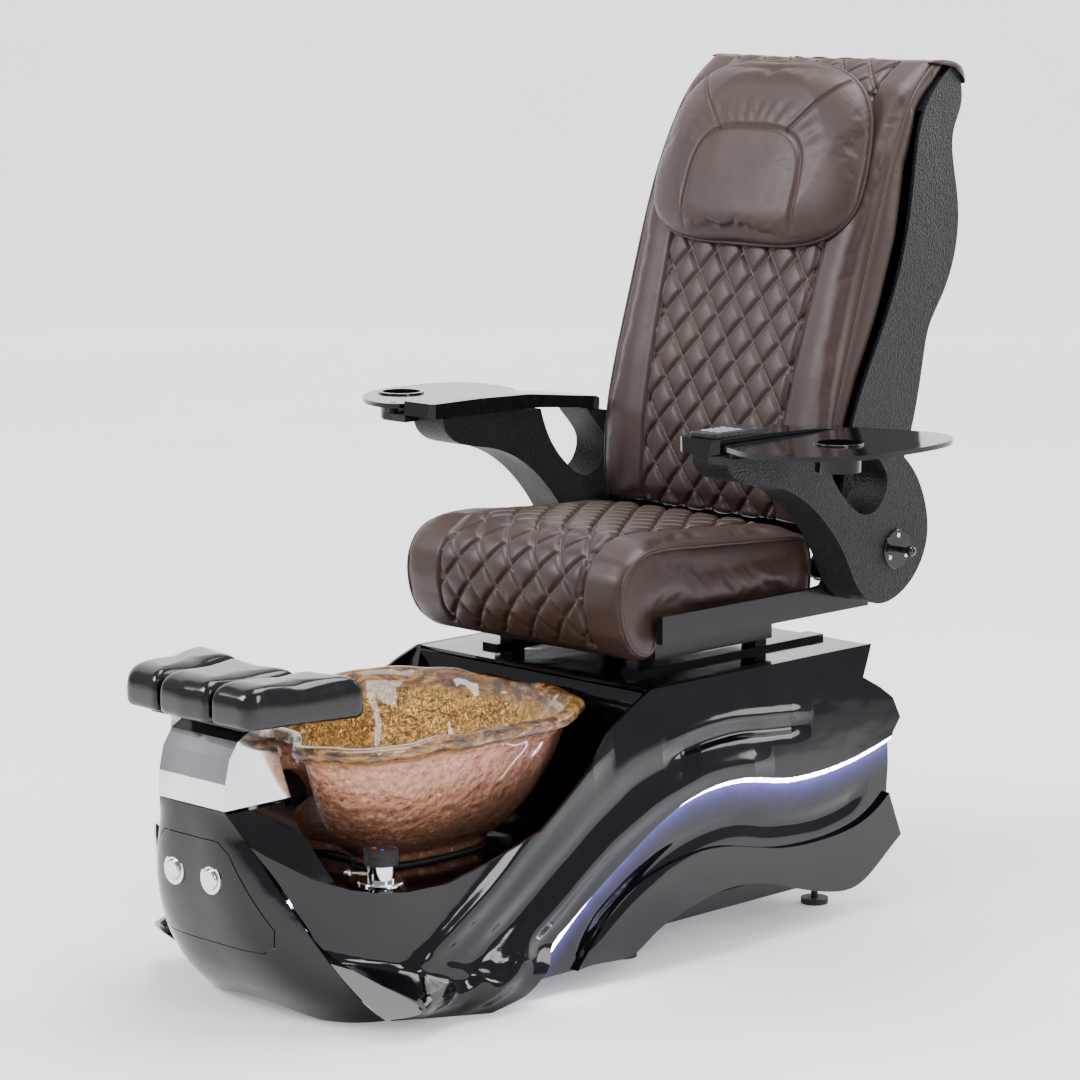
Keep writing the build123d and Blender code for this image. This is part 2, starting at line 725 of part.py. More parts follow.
with BuildPart() as seat_pedestal:
    block(px0, px1, py0, py1, PEDESTAL_BOTTOM, PAN_Z - 6)
    block(px0 + 3, px1 - 3, py0 + 3, py1 - 3, PEDESTAL_BOTTOM + 3, PAN_Z - 6, mode=Mode.SUBTRACT)
    with BuildSketch(Plane.XZ.offset(-py1 - 1)):
        with Locations((0, ACTUATOR_Z)):
            Circle(12.2)
    extrude(amount=5, mode=Mode.SUBTRACT)
save(seat_pedestal, "seat_pedestal")

by, bz = BACK_PIVOT
ay, az = ARM_PIVOT
BRACKET = [(380, PAN_Z - 6), (520, PAN_Z - 6), (528, 650), (500, 680), (470, 676), (425, 615), (404, 582),
           (380, 580)]
with BuildPart() as seat_frame:
    block(-283, 283, 26, 408, PAN_Z - 6, PAN_Z)
    for sx in (-1, 1):
        x_in, x_out = sorted((sx * 269, sx * 283))
        block(x_in, x_out, 4, 400, PAN_Z - 6, 580)
        add(slab(BRACKET, x_in, x_out))
        with BuildSketch(Plane.YZ.offset(sx * 283)):
            with Locations(ARM_PIVOT):
                Circle(ARM_STUD_R)
        extrude(amount=sx * 64)
        with BuildSketch(Plane.YZ.offset(sx * 269)):
            with Locations(BACK_PIVOT):
                Circle(10)
        extrude(amount=-sx * 36)
save(seat_frame, "seat_frame")

CUSHION = [(22, PAN_Z + 0.4), (14, 500), (-8, 497), (-34, 512), (-60, 548), (-72, 600), (-68, 640), (-48, 672),
           (-10, 692), (60, 693), (170, 686), (290, 679), (408, 672), (413, 600), (408, PAN_Z + 0.4)]
with BuildPart() as seat_cushion:
    with BuildSketch(Plane.YZ.offset(-SEAT_HALF)):
        with BuildLine():
            Line(CUSHION[0], CUSHION[1])
            Spline(*CUSHION[1:13])
            Polyline(CUSHION[12], CUSHION[13], CUSHION[14], CUSHION[0])
        make_face()
    extrude(amount=2 * SEAT_HALF)
save(seat_cushion, "seat_cushion")

# ----------------------------------------------------------- recline actuator
with BuildPart() as recline_actuator:
    block(-25, 25, 100, 250, 490, 532)
    fillet(recline_actuator.edges().filter_by(Axis.Y), 5)
    with BuildSketch(Plane.XZ.offset(-250)):
        with Locations((0, ACTUATOR_Z)):
            Circle(11.5)
    extrude(amount=-118)
    with BuildSketch(Plane.XZ.offset(-262)):
        with Locations((0, ACTUATOR_Z)):
            Circle(ROD_R + RUN)
    extrude(amount=-106, mode=Mode.SUBTRACT)
save(recline_actuator, "recline_actuator")

with BuildPart() as actuator_rod:
    with BuildSketch(Plane.XZ.offset(-300)):
        with Locations((0, ACTUATOR_Z)):
            Circle(ROD_R)
    extrude(amount=-(ROD_END_Y - 38 - 300))
    block(-13, 13, ROD_END_Y - 44, ROD_END_Y - 34, ACTUATOR_Z - 9, ACTUATOR_Z + 9)
    for x in (-13, 7):
        block(x, x + 6, ROD_END_Y - 44, ROD_END_Y + 10, ACTUATOR_Z - 9, ACTUATOR_Z + 9)
    with BuildSketch(Plane.YZ.offset(-13)):
        with Locations((ROD_END_Y, ACTUATOR_Z)):
            Circle(PIN_R)
    extrude(amount=26)
save(actuator_rod, "actuator_rod")

# ------------------------------------------------------------------------ back
FRONT_FACE = [(421, 672), (424, 740), (434, 830), (458, 930), (496, 1060), (536, 1190), (584, 1310),
              (648, 1412), (706, 1452)]
BORDER = [(758, 1452), (712, 1420), (668, 1374), (632, 1270), (606, 1151), (564, 1036), (506, 922),
          (478, 852), (466, 760), (462, 672)]
SHELL_REAR = [(766, 1438), (772, 1416), (768, 1382), (744, 1340), (747, 1227), (742, 1132), (706, 1051),
              (676, 1005), (662, 952), (640, 840), (610, 740), (570, 668), (520, 634)]
BACK_FRONT = [(246, 620), (262, 700), (277, 830), (281, 1000), (282, 1180), (274, 1330), (256, 1470)]


def back_width(inset):
    """Front outline of the back (X, Z), cut through from front to rear."""
    half = [(x - inset, z) for x, z in BACK_FRONT]
    with BuildPart() as piece:
        with BuildSketch(Plane.XZ.offset(-380)):
            with BuildLine():
                Spline(*half)
                Line(half[-1], (-half[-1][0], half[-1][1]))
                Spline(*reversed([(-x, z) for x, z in half]))
                Line((-half[0][0], half[0][1]), half[0])
            make_face()
        extrude(amount=-420)
    return piece.part


with BuildPart() as back_cushion:
    with BuildSketch(Plane.YZ.offset(-300)):
        with BuildLine():
            Spline(*FRONT_FACE)
            Line(FRONT_FACE[-1], BORDER[0])
            Spline(*BORDER)
            Line(BORDER[-1], FRONT_FACE[0])
        make_face()
    extrude(amount=600)
    add(back_width(0), mode=Mode.INTERSECT)
save(back_cushion, "back_cushion")

with BuildPart() as back_shell:
    border = [(y + 1.0, z) for y, z in BORDER]
    with BuildSketch(Plane.YZ.offset(-300)):
        with BuildLine():
            Line((766, 1438), border[0])
            Spline(*border)
            Polyline(border[-1], (474, 636), SHELL_REAR[-1])
            Spline(*reversed(SHELL_REAR))
        make_face()
    extrude(amount=600)
    add(back_width(0), mode=Mode.INTERSECT)
    with BuildSketch(Plane.YZ.offset(-300)):
        with BuildLine():
            front = [(y - 2, z) for y, z in BORDER[2:]]
            inner = [(y - 6, z - 4) for y, z in SHELL_REAR[4:-1]]
            Spline(*front)
            Polyline(front[-1], (468, 641), (514, 641), inner[-1])
            Spline(*reversed(inner))
            Polyline(inner[0], (734, 1318), (702, 1346), front[0])
        make_face()
    cavity = extrude(amount=600, mode=Mode.PRIVATE)
    add(cavity & back_width(7), mode=Mode.SUBTRACT)
    block(-262, 262, 470, 518, 628, 646, mode=Mode.SUBTRACT)
save(back_shell, "back_shell")

slope = math.radians(BACK_SLOPE)
UP_BACK = Vector(0, math.sin(slope), math.cos(slope))
TRACK_FOOT = Vector(0, 511, 700)


def leaning(x, along, out):
    """A point in the back: across, up along the lean, and out behind it."""
    away = Vector(0, math.cos(slope), -math.sin(slope))
    return TRACK_FOOT + UP_BACK * along + away * out + Vector(x, 0, 0)


def leaning_box(x0, x1, a0, a1, o0, o1, mode=Mode.ADD):
    """A box that leans with the back."""
    centre = leaning((x0 + x1) / 2, a0, (o0 + o1) / 2)
    with BuildSketch(Plane(origin=centre, x_dir=(1, 0, 0), z_dir=UP_BACK)) as section:
        Rectangle(abs(x1 - x0), abs(o1 - o0))
    extrude(section.sketch, amount=a1 - a0, mode=mode)


TRACK_TOP = 600.0
TRACK_X = 205.0
with BuildPart() as back_frame:
    for sx in (-1, 1):
        leaning_box(sx * TRACK_X - 10, sx * TRACK_X + 10, -10, TRACK_TOP, -12, 12)
        x_in, x_out = sorted((sx * 226, sx * 234))
        add(slab([(by - 20, bz - 6), (by + 2, bz - 21), (by + 29, bz - 4), (500, 650), (530, 700), (532, 722),
                  (498, 722), (470, 660), (by - 12, bz + 17)], x_in, x_out))
        leaning_box(sx * 195, sx * 234, 2, 22, -8, 8)
    for a0 in (-8, TRACK_TOP - 24):
        leaning_box(-TRACK_X, TRACK_X, a0, a0 + 20, -8, 8)
    with BuildSketch(Plane.YZ.offset(-246)):
        with Locations(BACK_PIVOT):
            Circle(16)
    extrude(amount=492)
    with BuildSketch(Plane.YZ.offset(-247)):
        with Locations(BACK_PIVOT):
            Circle(10 + RUN)
    extrude(amount=494, mode=Mode.SUBTRACT)
    lever_foot = (ROD_END_Y, ACTUATOR_Z)
    ly, lz = lever_foot
    add(slab([(by - 14, bz - 12), (ly - 15, lz), (ly - 12, lz - 12), (ly + 10, lz - 14), (ly + 15, lz - 2),
              (by + 15, bz - 10)], -5, 5))
    with BuildSketch(Plane.YZ.offset(-5)):
        with Locations(lever_foot):
            Circle(PIN_R + 2.6)
    extrude(amount=10, mode=Mode.SUBTRACT)
save(back_frame, "back_frame")

ROLLER_AXIS = leaning(0, 95, -6)
ROLLER_SHAFT_R = 5.0
roller_plane = Plane(origin=ROLLER_AXIS, x_dir=(0, 0, 1), z_dir=(1, 0, 0))
with BuildPart() as massage_carriage:
    leaning_box(-180, 180, 60, 130, -16, 10)
    leaning_box(-150, 150, 70, 120, -17, 12, mode=Mode.SUBTRACT)
    for sx in (-1, 1):
        leaning_box(sx * 180, sx * 194, 78, 112, -9, 9)
    leaning_box(-180, 180, 84, 106, 10, 16)
    with BuildSketch(roller_plane.offset(-172)):
        Circle(ROLLER_SHAFT_R + RUN)
    extrude(amount=344, mode=Mode.SUBTRACT)
save(massage_carriage, "massage_carriage")

with BuildPart() as massage_rollers:
    with BuildSketch(roller_plane.offset(-171)):
        Circle(ROLLER_SHAFT_R)
    extrude(amount=342)
    for x in (-120, -48, 28, 100):
        with BuildSketch(roller_plane.offset(x)):
            Circle(15)
        extrude(amount=20)
save(massage_rollers, "massage_rollers")

PILLOW = [(648, 1450), (600, 1440), (548, 1400), (508, 1330), (480, 1240), (468, 1165), (482, 1132),
          (508, 1134)]
PILLOW_REAR = [(526, 1176), (550, 1244), (576, 1308), (608, 1366), (642, 1418)]
with BuildPart() as headrest_pillow:
    with BuildSketch(Plane.YZ.offset(-250)):
        with BuildLine():
            Spline(*PILLOW)
            Line(PILLOW[-1], PILLOW_REAR[0])
            Spline(*PILLOW_REAR)
            Line(PILLOW_REAR[-1], PILLOW[0])
        make_face()
    extrude(amount=500)
    with BuildSketch(Plane.XZ.offset(-380)):
        with BuildLine():
            Spline((0, 1118), (150, 1132), (222, 1190), (240, 1270), (214, 1360), (140, 1436), (0, 1456),
                   (-140, 1436), (-214, 1360), (-240, 1270), (-222, 1190), (-150, 1132), periodic=True)
        make_face()
    extrude(amount=-420, mode=Mode.INTERSECT)
save(headrest_pillow, "headrest_pillow")

# ------------------------------------------------------------- arms and trays
ARM_UNDER = [(62, 845), (66, 826), (80, 810), (108, 797), (180, 783), (255, 752), (318, 700), (364, 640),
             (392, 592), (440, 558), (500, 566), (550, 604), (574, 655), (568, 716), (540, 770), (502, 806),
             (464, 826)]
ARM_HOLE = [(300, 842), (330, 776), (372, 732), (412, 712), (450, 726), (466, 768), (446, 800), (416, 832)]


def arm_body(side):
    """Moulded arm: a swept beam with a thumb-shaped opening behind it."""
    with BuildPart() as piece:
        with BuildSketch(Plane.YZ.offset(ARM_IN)):
            with BuildLine():
                Spline(*ARM_UNDER)
                Polyline(ARM_UNDER[-1], ARM_HOLE[-1])
                Spline(*reversed(ARM_HOLE))
                Line(ARM_HOLE[0], ARM_UNDER[0])
            make_face()
        extrude(amount=ARM_OUT - ARM_IN)
        with BuildSketch(Plane.YZ.offset(ARM_IN)):
            with Locations(ARM_PIVOT):
                Circle(ARM_STUD_R + RUN)
        extrude(amount=62, mode=Mode.SUBTRACT)
        with BuildSketch(Plane.YZ.offset(ARM_OUT)):
            with Locations(ARM_PIVOT):
                Circle(5 + RUN)
        extrude(amount=-13, mode=Mode.SUBTRACT)
        block(ARM_OUT - 10, 412, 32, 84, 836, 848)
        with BuildSketch(Plane.XY.offset(848)):
            with Locations((400, 45)):
                Circle(5)
        extrude(amount=16)
        with BuildSketch(Plane.XY.offset(848)):
            with Locations((400, 45)):
                Circle(9)
        extrude(amount=TRAY_Z - 848.2)
        if side < 0:
            mirror(about=Plane.YZ, mode=Mode.REPLACE)
    return piece


CAP_SIDE = [(30, 849), (34, 873), (150, 874), (270, 871), (440, 853), (452, 848), (450, 828), (400, 836),
            (290, 845.5)]
CAP_PLAN = [(287, 40), (300, 30), (356, 30), (369, 44), (369, 430), (360, 460), (296, 460), (287, 430)]


def arm_cap(side):
    """Gloss top cap of the arm."""
    with BuildPart() as piece:
        add(slab(CAP_SIDE, 280, 380))
        with BuildSketch(Plane.XY.offset(800)):
            with BuildLine():
                Polyline(*CAP_PLAN, close=True)
            make_face()
        extrude(amount=100, mode=Mode.INTERSECT)
        if side < 0:
            mirror(about=Plane.YZ, mode=Mode.REPLACE)
    return piece


def arm_rosette(side):
    """Round trim plate over the arm's pivot."""
    with BuildPart() as piece:
        with BuildSketch(Plane.YZ.offset(ARM_OUT + 0.3)):
            with Locations(ARM_PIVOT):
                Circle(34)
                Circle(5 + RUN, mode=Mode.SUBTRACT)
        extrude(amount=4)
        chamfer(piece.faces().sort_by(Axis.X)[-1].edges().sort_by(SortBy.LENGTH)[-1], 1.5)
        if side < 0:
            mirror(about=Plane.YZ, mode=Mode.REPLACE)
    return piece


def lock_knob(side):
    """Pull knob on a plunger that locks the arm."""
    start = ARM_OUT - 6
    with BuildPart() as piece:
        with BuildSketch(Plane.YZ.offset(start)):
            with Locations(ARM_PIVOT):
                Circle(5)
        extrude(amount=34)
        with Locations((start + 38, *ARM_PIVOT)):
            Sphere(9)
        if side < 0:
            mirror(about=Plane.YZ, mode=Mode.REPLACE)
    return piece


for name, side in (("left", 1), ("right", -1)):
    save(arm_body(side), f"arm_{name}")
    save(arm_cap(side), f"arm_cap_{name}")
    save(arm_rosette(side), f"arm_rosette_{name}")
    save(lock_knob(side), f"lock_knob_{name}")

TRAY_LEFT = [(376, 64), (386, 36), (404, 27), (460, 6), (530, 20), (584, 62), (611, 120), (616, 210),
             (607, 310), (580, 372), (535, 404), (460, 392), (384, 360), (376, 350)]
TRAY_RIGHT = [(376, 60), (384, 36), (402, 28), (450, 34), (502, 66), (545, 124), (566, 200), (560, 280),
              (530, 338), (470, 352), (388, 330), (376, 320)]
CUP_LEFT = (495, 186)
CUP_RIGHT = (492, 150)


def tray(outline, cup, side):
    """Flat tray plate with a hole for the cup and one for its pivot pin."""
    with BuildPart() as piece:
        with BuildSketch(Plane.XY.offset(TRAY_Z)):
            with BuildLine():
                Spline(*mirrored(outline, side))
                Line(mirrored(outline, side)[-1], mirrored(outline, side)[0])
            make_face()
        extrude(amount=TRAY_T)
        with BuildSketch(Plane.XY.offset(TRAY_Z)):
            with Locations((side * cup[0], cup[1])):
                Circle(CUP_R + 0.3)
            with Locations((side * 400, 45)):
                Circle(5 + RUN)
        extrude(amount=TRAY_T, mode=Mode.SUBTRACT)
    return piece


def cup_holder(cup, side):
    """Drop-in cup with a raised ring."""
    with BuildPart() as piece:
        with BuildSketch(Plane.XY.offset(TRAY_Z + TRAY_T)):
            with Locations((side * cup[0], cup[1])):
                Circle(CUP_R + 4)
        extrude(amount=3)
        fillet(piece.faces().sort_by(Axis.Z)[-1].edges(), 1.2)
        with BuildSketch(Plane.XY.offset(TRAY_Z + TRAY_T)):
            with Locations((side * cup[0], cup[1])):
                Circle(CUP_R)
        extrude(amount=-CUP_DEPTH)
        with BuildSketch(Plane.XY.offset(TRAY_Z + TRAY_T + 3)):
            with Locations((side * cup[0], cup[1])):
                Circle(CUP_R - 3)
        extrude(amount=-CUP_DEPTH, mode=Mode.SUBTRACT)
    return piece


save(tray(TRAY_LEFT, CUP_LEFT, 1), "tray_left")
save(tray(TRAY_RIGHT, CUP_RIGHT, -1), "tray_right")
save(cup_holder(CUP_LEFT, 1), "cup_holder_left")
save(cup_holder(CUP_RIGHT, -1), "cup_holder_right")

with BuildPart() as keypad:
    with BuildSketch(Plane.XY.offset(874.3)):
        with Locations((326, 108)):
            RectangleRounded(56, 124, 8)
    extrude(amount=7)
    chamfer(keypad.faces().sort_by(Axis.Z)[-1].edges(), 1.5)
save(keypad, "keypad")
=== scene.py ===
import math
import bmesh
import bpy
import numpy as np
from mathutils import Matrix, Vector


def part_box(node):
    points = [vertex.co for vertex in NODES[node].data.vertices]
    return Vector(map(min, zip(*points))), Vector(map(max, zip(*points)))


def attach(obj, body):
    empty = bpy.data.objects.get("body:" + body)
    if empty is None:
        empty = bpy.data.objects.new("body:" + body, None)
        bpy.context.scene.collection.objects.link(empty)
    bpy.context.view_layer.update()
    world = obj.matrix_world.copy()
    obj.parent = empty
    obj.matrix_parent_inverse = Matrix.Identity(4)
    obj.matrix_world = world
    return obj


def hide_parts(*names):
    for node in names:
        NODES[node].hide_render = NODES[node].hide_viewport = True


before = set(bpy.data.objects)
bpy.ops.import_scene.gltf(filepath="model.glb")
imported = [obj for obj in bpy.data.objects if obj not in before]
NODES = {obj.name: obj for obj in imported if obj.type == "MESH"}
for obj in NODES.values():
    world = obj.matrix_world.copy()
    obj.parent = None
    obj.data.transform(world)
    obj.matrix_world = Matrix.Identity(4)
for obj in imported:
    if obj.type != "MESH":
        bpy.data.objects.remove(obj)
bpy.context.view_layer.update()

MM = 0.001


# ------------------------------------------------------------------ node helpers
class Shader:
    """A short way to write a node material."""

    def __init__(self, name):
        self.mat = bpy.data.materials.new(name)
        self.mat.use_nodes = True
        self.tree = self.mat.node_tree
        self.bsdf = self.tree.nodes["Principled BSDF"]

    def add(self, kind, **props):
        node = self.tree.nodes.new(kind)
        for key, value in props.items():
            setattr(node, key, value)
        return node

    def link(self, a, b):
        self.tree.links.new(a, b)

    def set(self, **values):
        for key, value in values.items():
            self.bsdf.inputs[key.replace("_", " ")].default_value = value

    def put(self, socket, value):
        if hasattr(value, "is_output") or hasattr(value, "links"):
            self.link(value, socket)
        else:
            socket.default_value = value

    def coords(self, scale=(1, 1, 1), kind="Object"):
        tex = self.add("ShaderNodeTexCoord")
        mapping = self.add("ShaderNodeMapping")
        mapping.inputs["Scale"].default_value = scale
        self.link(tex.outputs[kind], mapping.inputs["Vector"])
        return mapping.outputs["Vector"]

    def noise(self, scale, detail=4, rough=0.55, vector=None, distortion=0.0):
        node = self.add("ShaderNodeTexNoise")
        node.inputs["Scale"].default_value = scale
        node.inputs["Detail"].default_value = detail
        node.inputs["Roughness"].default_value = rough
        node.inputs["Distortion"].default_value = distortion
        self.link(vector if vector else self.coords(), node.inputs["Vector"])
        return node.outputs["Fac"]

    def voronoi(self, scale, feature="F1", vector=None, out="Distance"):
        node = self.add("ShaderNodeTexVoronoi", feature=feature)
        node.inputs["Scale"].default_value = scale
        self.link(vector if vector else self.coords(), node.inputs["Vector"])
        return node.outputs[out]

    def math(self, op, a, b=0.0, c=0.0):
        node = self.add("ShaderNodeMath", operation=op)
        for socket, value in zip(node.inputs, (a, b, c)):
            self.put(socket, value)
        return node.outputs[0]

    def ramp(self, fac, stops):
        node = self.add("ShaderNodeValToRGB")
        ramp = node.color_ramp
        while len(ramp.elements) < len(stops):
            ramp.elements.new(0.5)
        for element, (place, colour) in zip(ramp.elements, stops):
            element.position = place
            element.color = (*colour, 1) if len(colour) == 3 else colour
        self.link(fac, node.inputs["Fac"])
        return node.outputs["Color"]

    def grey(self, fac, lo, hi, a=0.3, b=0.7):
        node = self.add("ShaderNodeMapRange")
        self.link(fac, node.inputs["Value"])
        for key, value in (("From Min", a), ("From Max", b), ("To Min", lo), ("To Max", hi)):
            node.inputs[key].default_value = value
        return node.outputs["Result"]

    def mix(self, fac, a, b):
        node = self.add("ShaderNodeMix", data_type="RGBA")
        self.put(node.inputs[0], fac)
        self.put(node.inputs[6], a)
        self.put(node.inputs[7], b)
        return node.outputs[2]

    def bump(self, *layers):
        """Stack of (height, strength, distance)."""
        last = None
        for height, strength, distance in layers:
            node = self.add("ShaderNodeBump")
            node.inputs["Strength"].default_value = strength
            node.inputs["Distance"].default_value = distance
            self.link(height, node.inputs["Height"])
            if last:
                self.link(last, node.inputs["Normal"])
            last = node.outputs["Normal"]
        self.link(last, self.bsdf.inputs["Normal"])


# --------------------------------------------------------------------- materials
def shell_black(name="shell_gloss"):
    s = Shader(name)
    wave = s.noise(5.0, 3, 0.5, s.coords((1, 0.7, 1.4)))
    peel = s.noise(210, 2, 0.5)
    haze = s.noise(11, 5, 0.6)
    s.link(s.ramp(haze, [(0.3, (0.0012, 0.0012, 0.002)), (0.75, (0.003, 0.0026, 0.005))]),
           s.bsdf.inputs["Base Color"])
    s.link(s.grey(haze, 0.05, 0.11), s.bsdf.inputs["Roughness"])
    s.set(Specular_IOR_Level=0.42)
    s.bump((wave, 0.35, 0.012), (peel, 0.04, 0.0005))
    return s


def folded(s, lines):
    """Adds soft folds to a gloss flank: each line is (Y, Z) in mm, a depth and a width."""
    tex = s.add("ShaderNodeTexCoord")
    parts = s.add("ShaderNodeSeparateXYZ")
    s.link(tex.outputs["Object"], parts.inputs[0])
    along = s.math("MULTIPLY_ADD", parts.outputs[1], 1.0, 0.8)
    along = s.math("DIVIDE", along, 1.5)
    total = None
    for points, depth, width in lines:
        node = s.add("ShaderNodeFloatCurve")
        curve = node.mapping.curves[0]
        spots = sorted(((y + 800) / 1500, z / 500) for y, z in points)
        while len(curve.points) < len(spots):
            curve.points.new(0.5, 0.5)
        for point, place in zip(curve.points, spots):
            point.location = place
        node.mapping.update()
        s.link(along, node.inputs["Value"])
        gap = s.math("SUBTRACT", s.math("MULTIPLY", node.outputs[0], 0.5), parts.outputs[2])
        ratio = s.math("DIVIDE", gap, width * MM)
        bell = s.math("EXPONENT", s.math("MULTIPLY", s.math("MULTIPLY", ratio, ratio), -1.0))
        lo, hi = min(p[0] for p in points), max(p[0] for p in points)
        start = s.grey(parts.outputs[1], 0.0, 1.0, lo * MM - 0.001, lo * MM + 0.05)
        stop = s.grey(parts.outputs[1], 1.0, 0.0, hi * MM - 0.05, hi * MM + 0.001)
        part = s.math("MULTIPLY", s.math("MULTIPLY", bell, depth), s.math("MULTIPLY", start, stop))
        total = part if total is None else s.math("ADD", total, part)
    bump = s.add("ShaderNodeBump")
    bump.inputs["Strength"].default_value = 1.0
    bump.inputs["Distance"].default_value = 0.02
    s.link(total, bump.inputs["Height"])
    first = s.bsdf.inputs["Normal"].links[0].from_node
    s.link(first.outputs["Normal"], bump.inputs["Normal"])
    s.link(bump.outputs["Normal"], s.bsdf.inputs["Normal"])
    return s


def flank_black():
    """The shell's flanks: gloss black with long draped folds and a slot-like groove."""
    folds = [
        ([(-10, 352), (60, 362), (160, 368), (260, 360), (360, 352)], -0.75, 13),
        ([(0, 372), (120, 388), (250, 382), (370, 370)], 0.30, 12),
        ([(-560, 60), (-470, 130), (-380, 205), (-290, 280), (-200, 345), (-120, 385)], 0.55, 26),
        ([(-520, 20), (-420, 90), (-330, 160), (-240, 225), (-140, 290), (-40, 330), (80, 338)], -0.50, 24),
        ([(-440, 10), (-350, 75), (-260, 145), (-170, 210), (-90, 255), (20, 296), (130, 312), (260, 300)],
         0.45, 20),
    ]
    return folded(shell_black("shell_flank_gloss"), folds)


EDGE_ABOVE_STRIP = 4.4  # mm, from the middle of the lit strip up to the step's edge
STRIP_RUN_OUT = 32.0    # mm, how far the step's edge goes on past the strip's front end


def light_line(count=14):
    """The step's edge above the lit strip as (Y, Z) in mm, rear to front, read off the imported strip."""
    strip = bpy.data.objects["light_strip_left"]
    where = np.array([strip.matrix_world @ v.co for v in strip.data.vertices]) / MM
    line = []
    for y in np.linspace(where[:, 1].max(), where[:, 1].min(), count):
        near = where[np.argsort(np.abs(where[:, 1] - y))[:24]]
        spread = near[:, 1] - near[:, 1].mean()
        slope = (spread * near[:, 2]).sum() / max((spread * spread).sum(), 1.0)
        mid = near[:, 2].mean() + slope * (y - near[:, 1].mean())
        line.append((float(y), float(mid + EDGE_ABOVE_STRIP * math.hypot(1, slope))))
    (y1, z1), (y0, z0) = line[-2:]
    slope = (z1 - z0) / (y1 - y0)
    line.append((y0 - STRIP_RUN_OUT, z0 - slope * STRIP_RUN_OUT))
    return line


def panel_black():
    """Lower flank: gloss black with the light strip's glow painted on as emission in a band just below the
    strip.
    """
    s = shell_black("lower_panel_gloss_painted_glow")
    tex = s.add("ShaderNodeTexCoord")
    parts = s.add("ShaderNodeSeparateXYZ")
    s.link(tex.outputs["Object"], parts.inputs[0])
    line = s.add("ShaderNodeFloatCurve")
    curve = line.mapping.curves[0]
    points = [((y + 400) / 1000, z / 400) for y, z in reversed(light_line())]
    while len(curve.points) < len(points):
        curve.points.new(0.5, 0.5)
    for point, place in zip(curve.points, points):
        point.location = place
    line.mapping.update()
    s.link(s.math("MULTIPLY_ADD", parts.outputs[1], 1.0, 0.4), line.inputs["Value"])
    # Painted glow: emission on the panel is strongest at the strip's line and fades below it, standing in for
    # the strip's light falling on the panel; noise makes it uneven.
    below = s.math("SUBTRACT", s.math("MULTIPLY", line.outputs[0], 0.4), parts.outputs[2])
    near = s.grey(below, 1.0, 0.0, 0.0, 0.075)
    painted_glow_falloff = s.math("ADD", s.math("POWER", near, 6.0), s.math("MULTIPLY", s.math("POWER", near, 2.0), 0.22))
    painted_glow_beads = s.grey(s.noise(34, 2, 0.5), 0.75, 1.1)
    s.link(s.math("MULTIPLY", s.math("MULTIPLY", painted_glow_falloff, painted_glow_beads), 2.0), s.bsdf.inputs["Emission Strength"])
    s.bsdf.inputs["Emission Color"].default_value = (0.20, 0.19, 0.95, 1)
    return folded(s, [([(-200, 60), (-120, 120), (-40, 165), (60, 200), (160, 210), (280, 190), (400, 185),
                        (520, 215)], -0.35, 16)])


def chrome(name="chrome_polished", rough=0.05):
    s = Shader(name)
    smear = s.noise(9, 5, 0.6, s.coords((1, 1, 0.4)))
    s.link(s.ramp(smear, [(0.3, (0.62, 0.63, 0.66)), (0.7, (0.80, 0.80, 0.82))]), s.bsdf.inputs["Base Color"])
    s.link(s.grey(smear, rough, rough + 0.07), s.bsdf.inputs["Roughness"])
    s.set(Metallic=1.0)
    s.bump((s.noise(4, 2), 0.05, 0.004), (s.noise(420, 2), 0.015, 0.0002))
    return s


def grained(name, low, high, rough=0.42, scale=900):
    """Moulded plastic with a fine leather-like grain."""
    s = Shader(name)
    grain = s.voronoi(scale)
    blotch = s.noise(14, 5, 0.6)
    speck = s.grey(grain, 1.0, 0.0, 0.15, 0.55)
    light = tuple(c * 4.5 for c in high)
    s.link(s.mix(s.math("MULTIPLY", speck, 0.55), s.ramp(blotch, [(0.3, low), (0.7, high)]), (*light, 1)),
           s.bsdf.inputs["Base Color"])
    s.link(s.grey(blotch, rough - 0.05, rough + 0.08), s.bsdf.inputs["Roughness"])
    s.set(Specular_IOR_Level=0.28)
    s.bump((s.noise(7, 2), 0.08, 0.006), (grain, 0.75, 0.0016), (s.noise(scale * 1.6, 2), 0.15, 0.0003))
    return s


def gloss_black(name, rough):
    """Glossy moulded black with faint orange peel and fine wipe marks."""
    s = Shader(name)
    wipe = s.noise(26, 7, 0.7, s.coords((1, 2.5, 1)))
    s.link(s.ramp(wipe, [(0.3, (0.003, 0.003, 0.0035)), (0.75, (0.007, 0.007, 0.008))]),
           s.bsdf.inputs["Base Color"])
    s.link(s.grey(wipe, rough, rough + 0.06), s.bsdf.inputs["Roughness"])
    s.set(Specular_IOR_Level=0.5)
    s.bump((s.noise(6, 2), 0.03, 0.004), (s.noise(260, 2), 0.04, 0.0004))
    return s


def steel_black():
    s = Shader("steel_black")
    wear = s.noise(22, 8, 0.7)
    s.link(s.ramp(wear, [(0.35, (0.004, 0.004, 0.0045)), (0.8, (0.010, 0.010, 0.011))]),
           s.bsdf.inputs["Base Color"])
    s.link(s.grey(wear, 0.12, 0.24), s.bsdf.inputs["Roughness"])
    s.set(Specular_IOR_Level=0.3)
    s.bump((s.noise(650, 2), 0.12, 0.0004),)
    return s


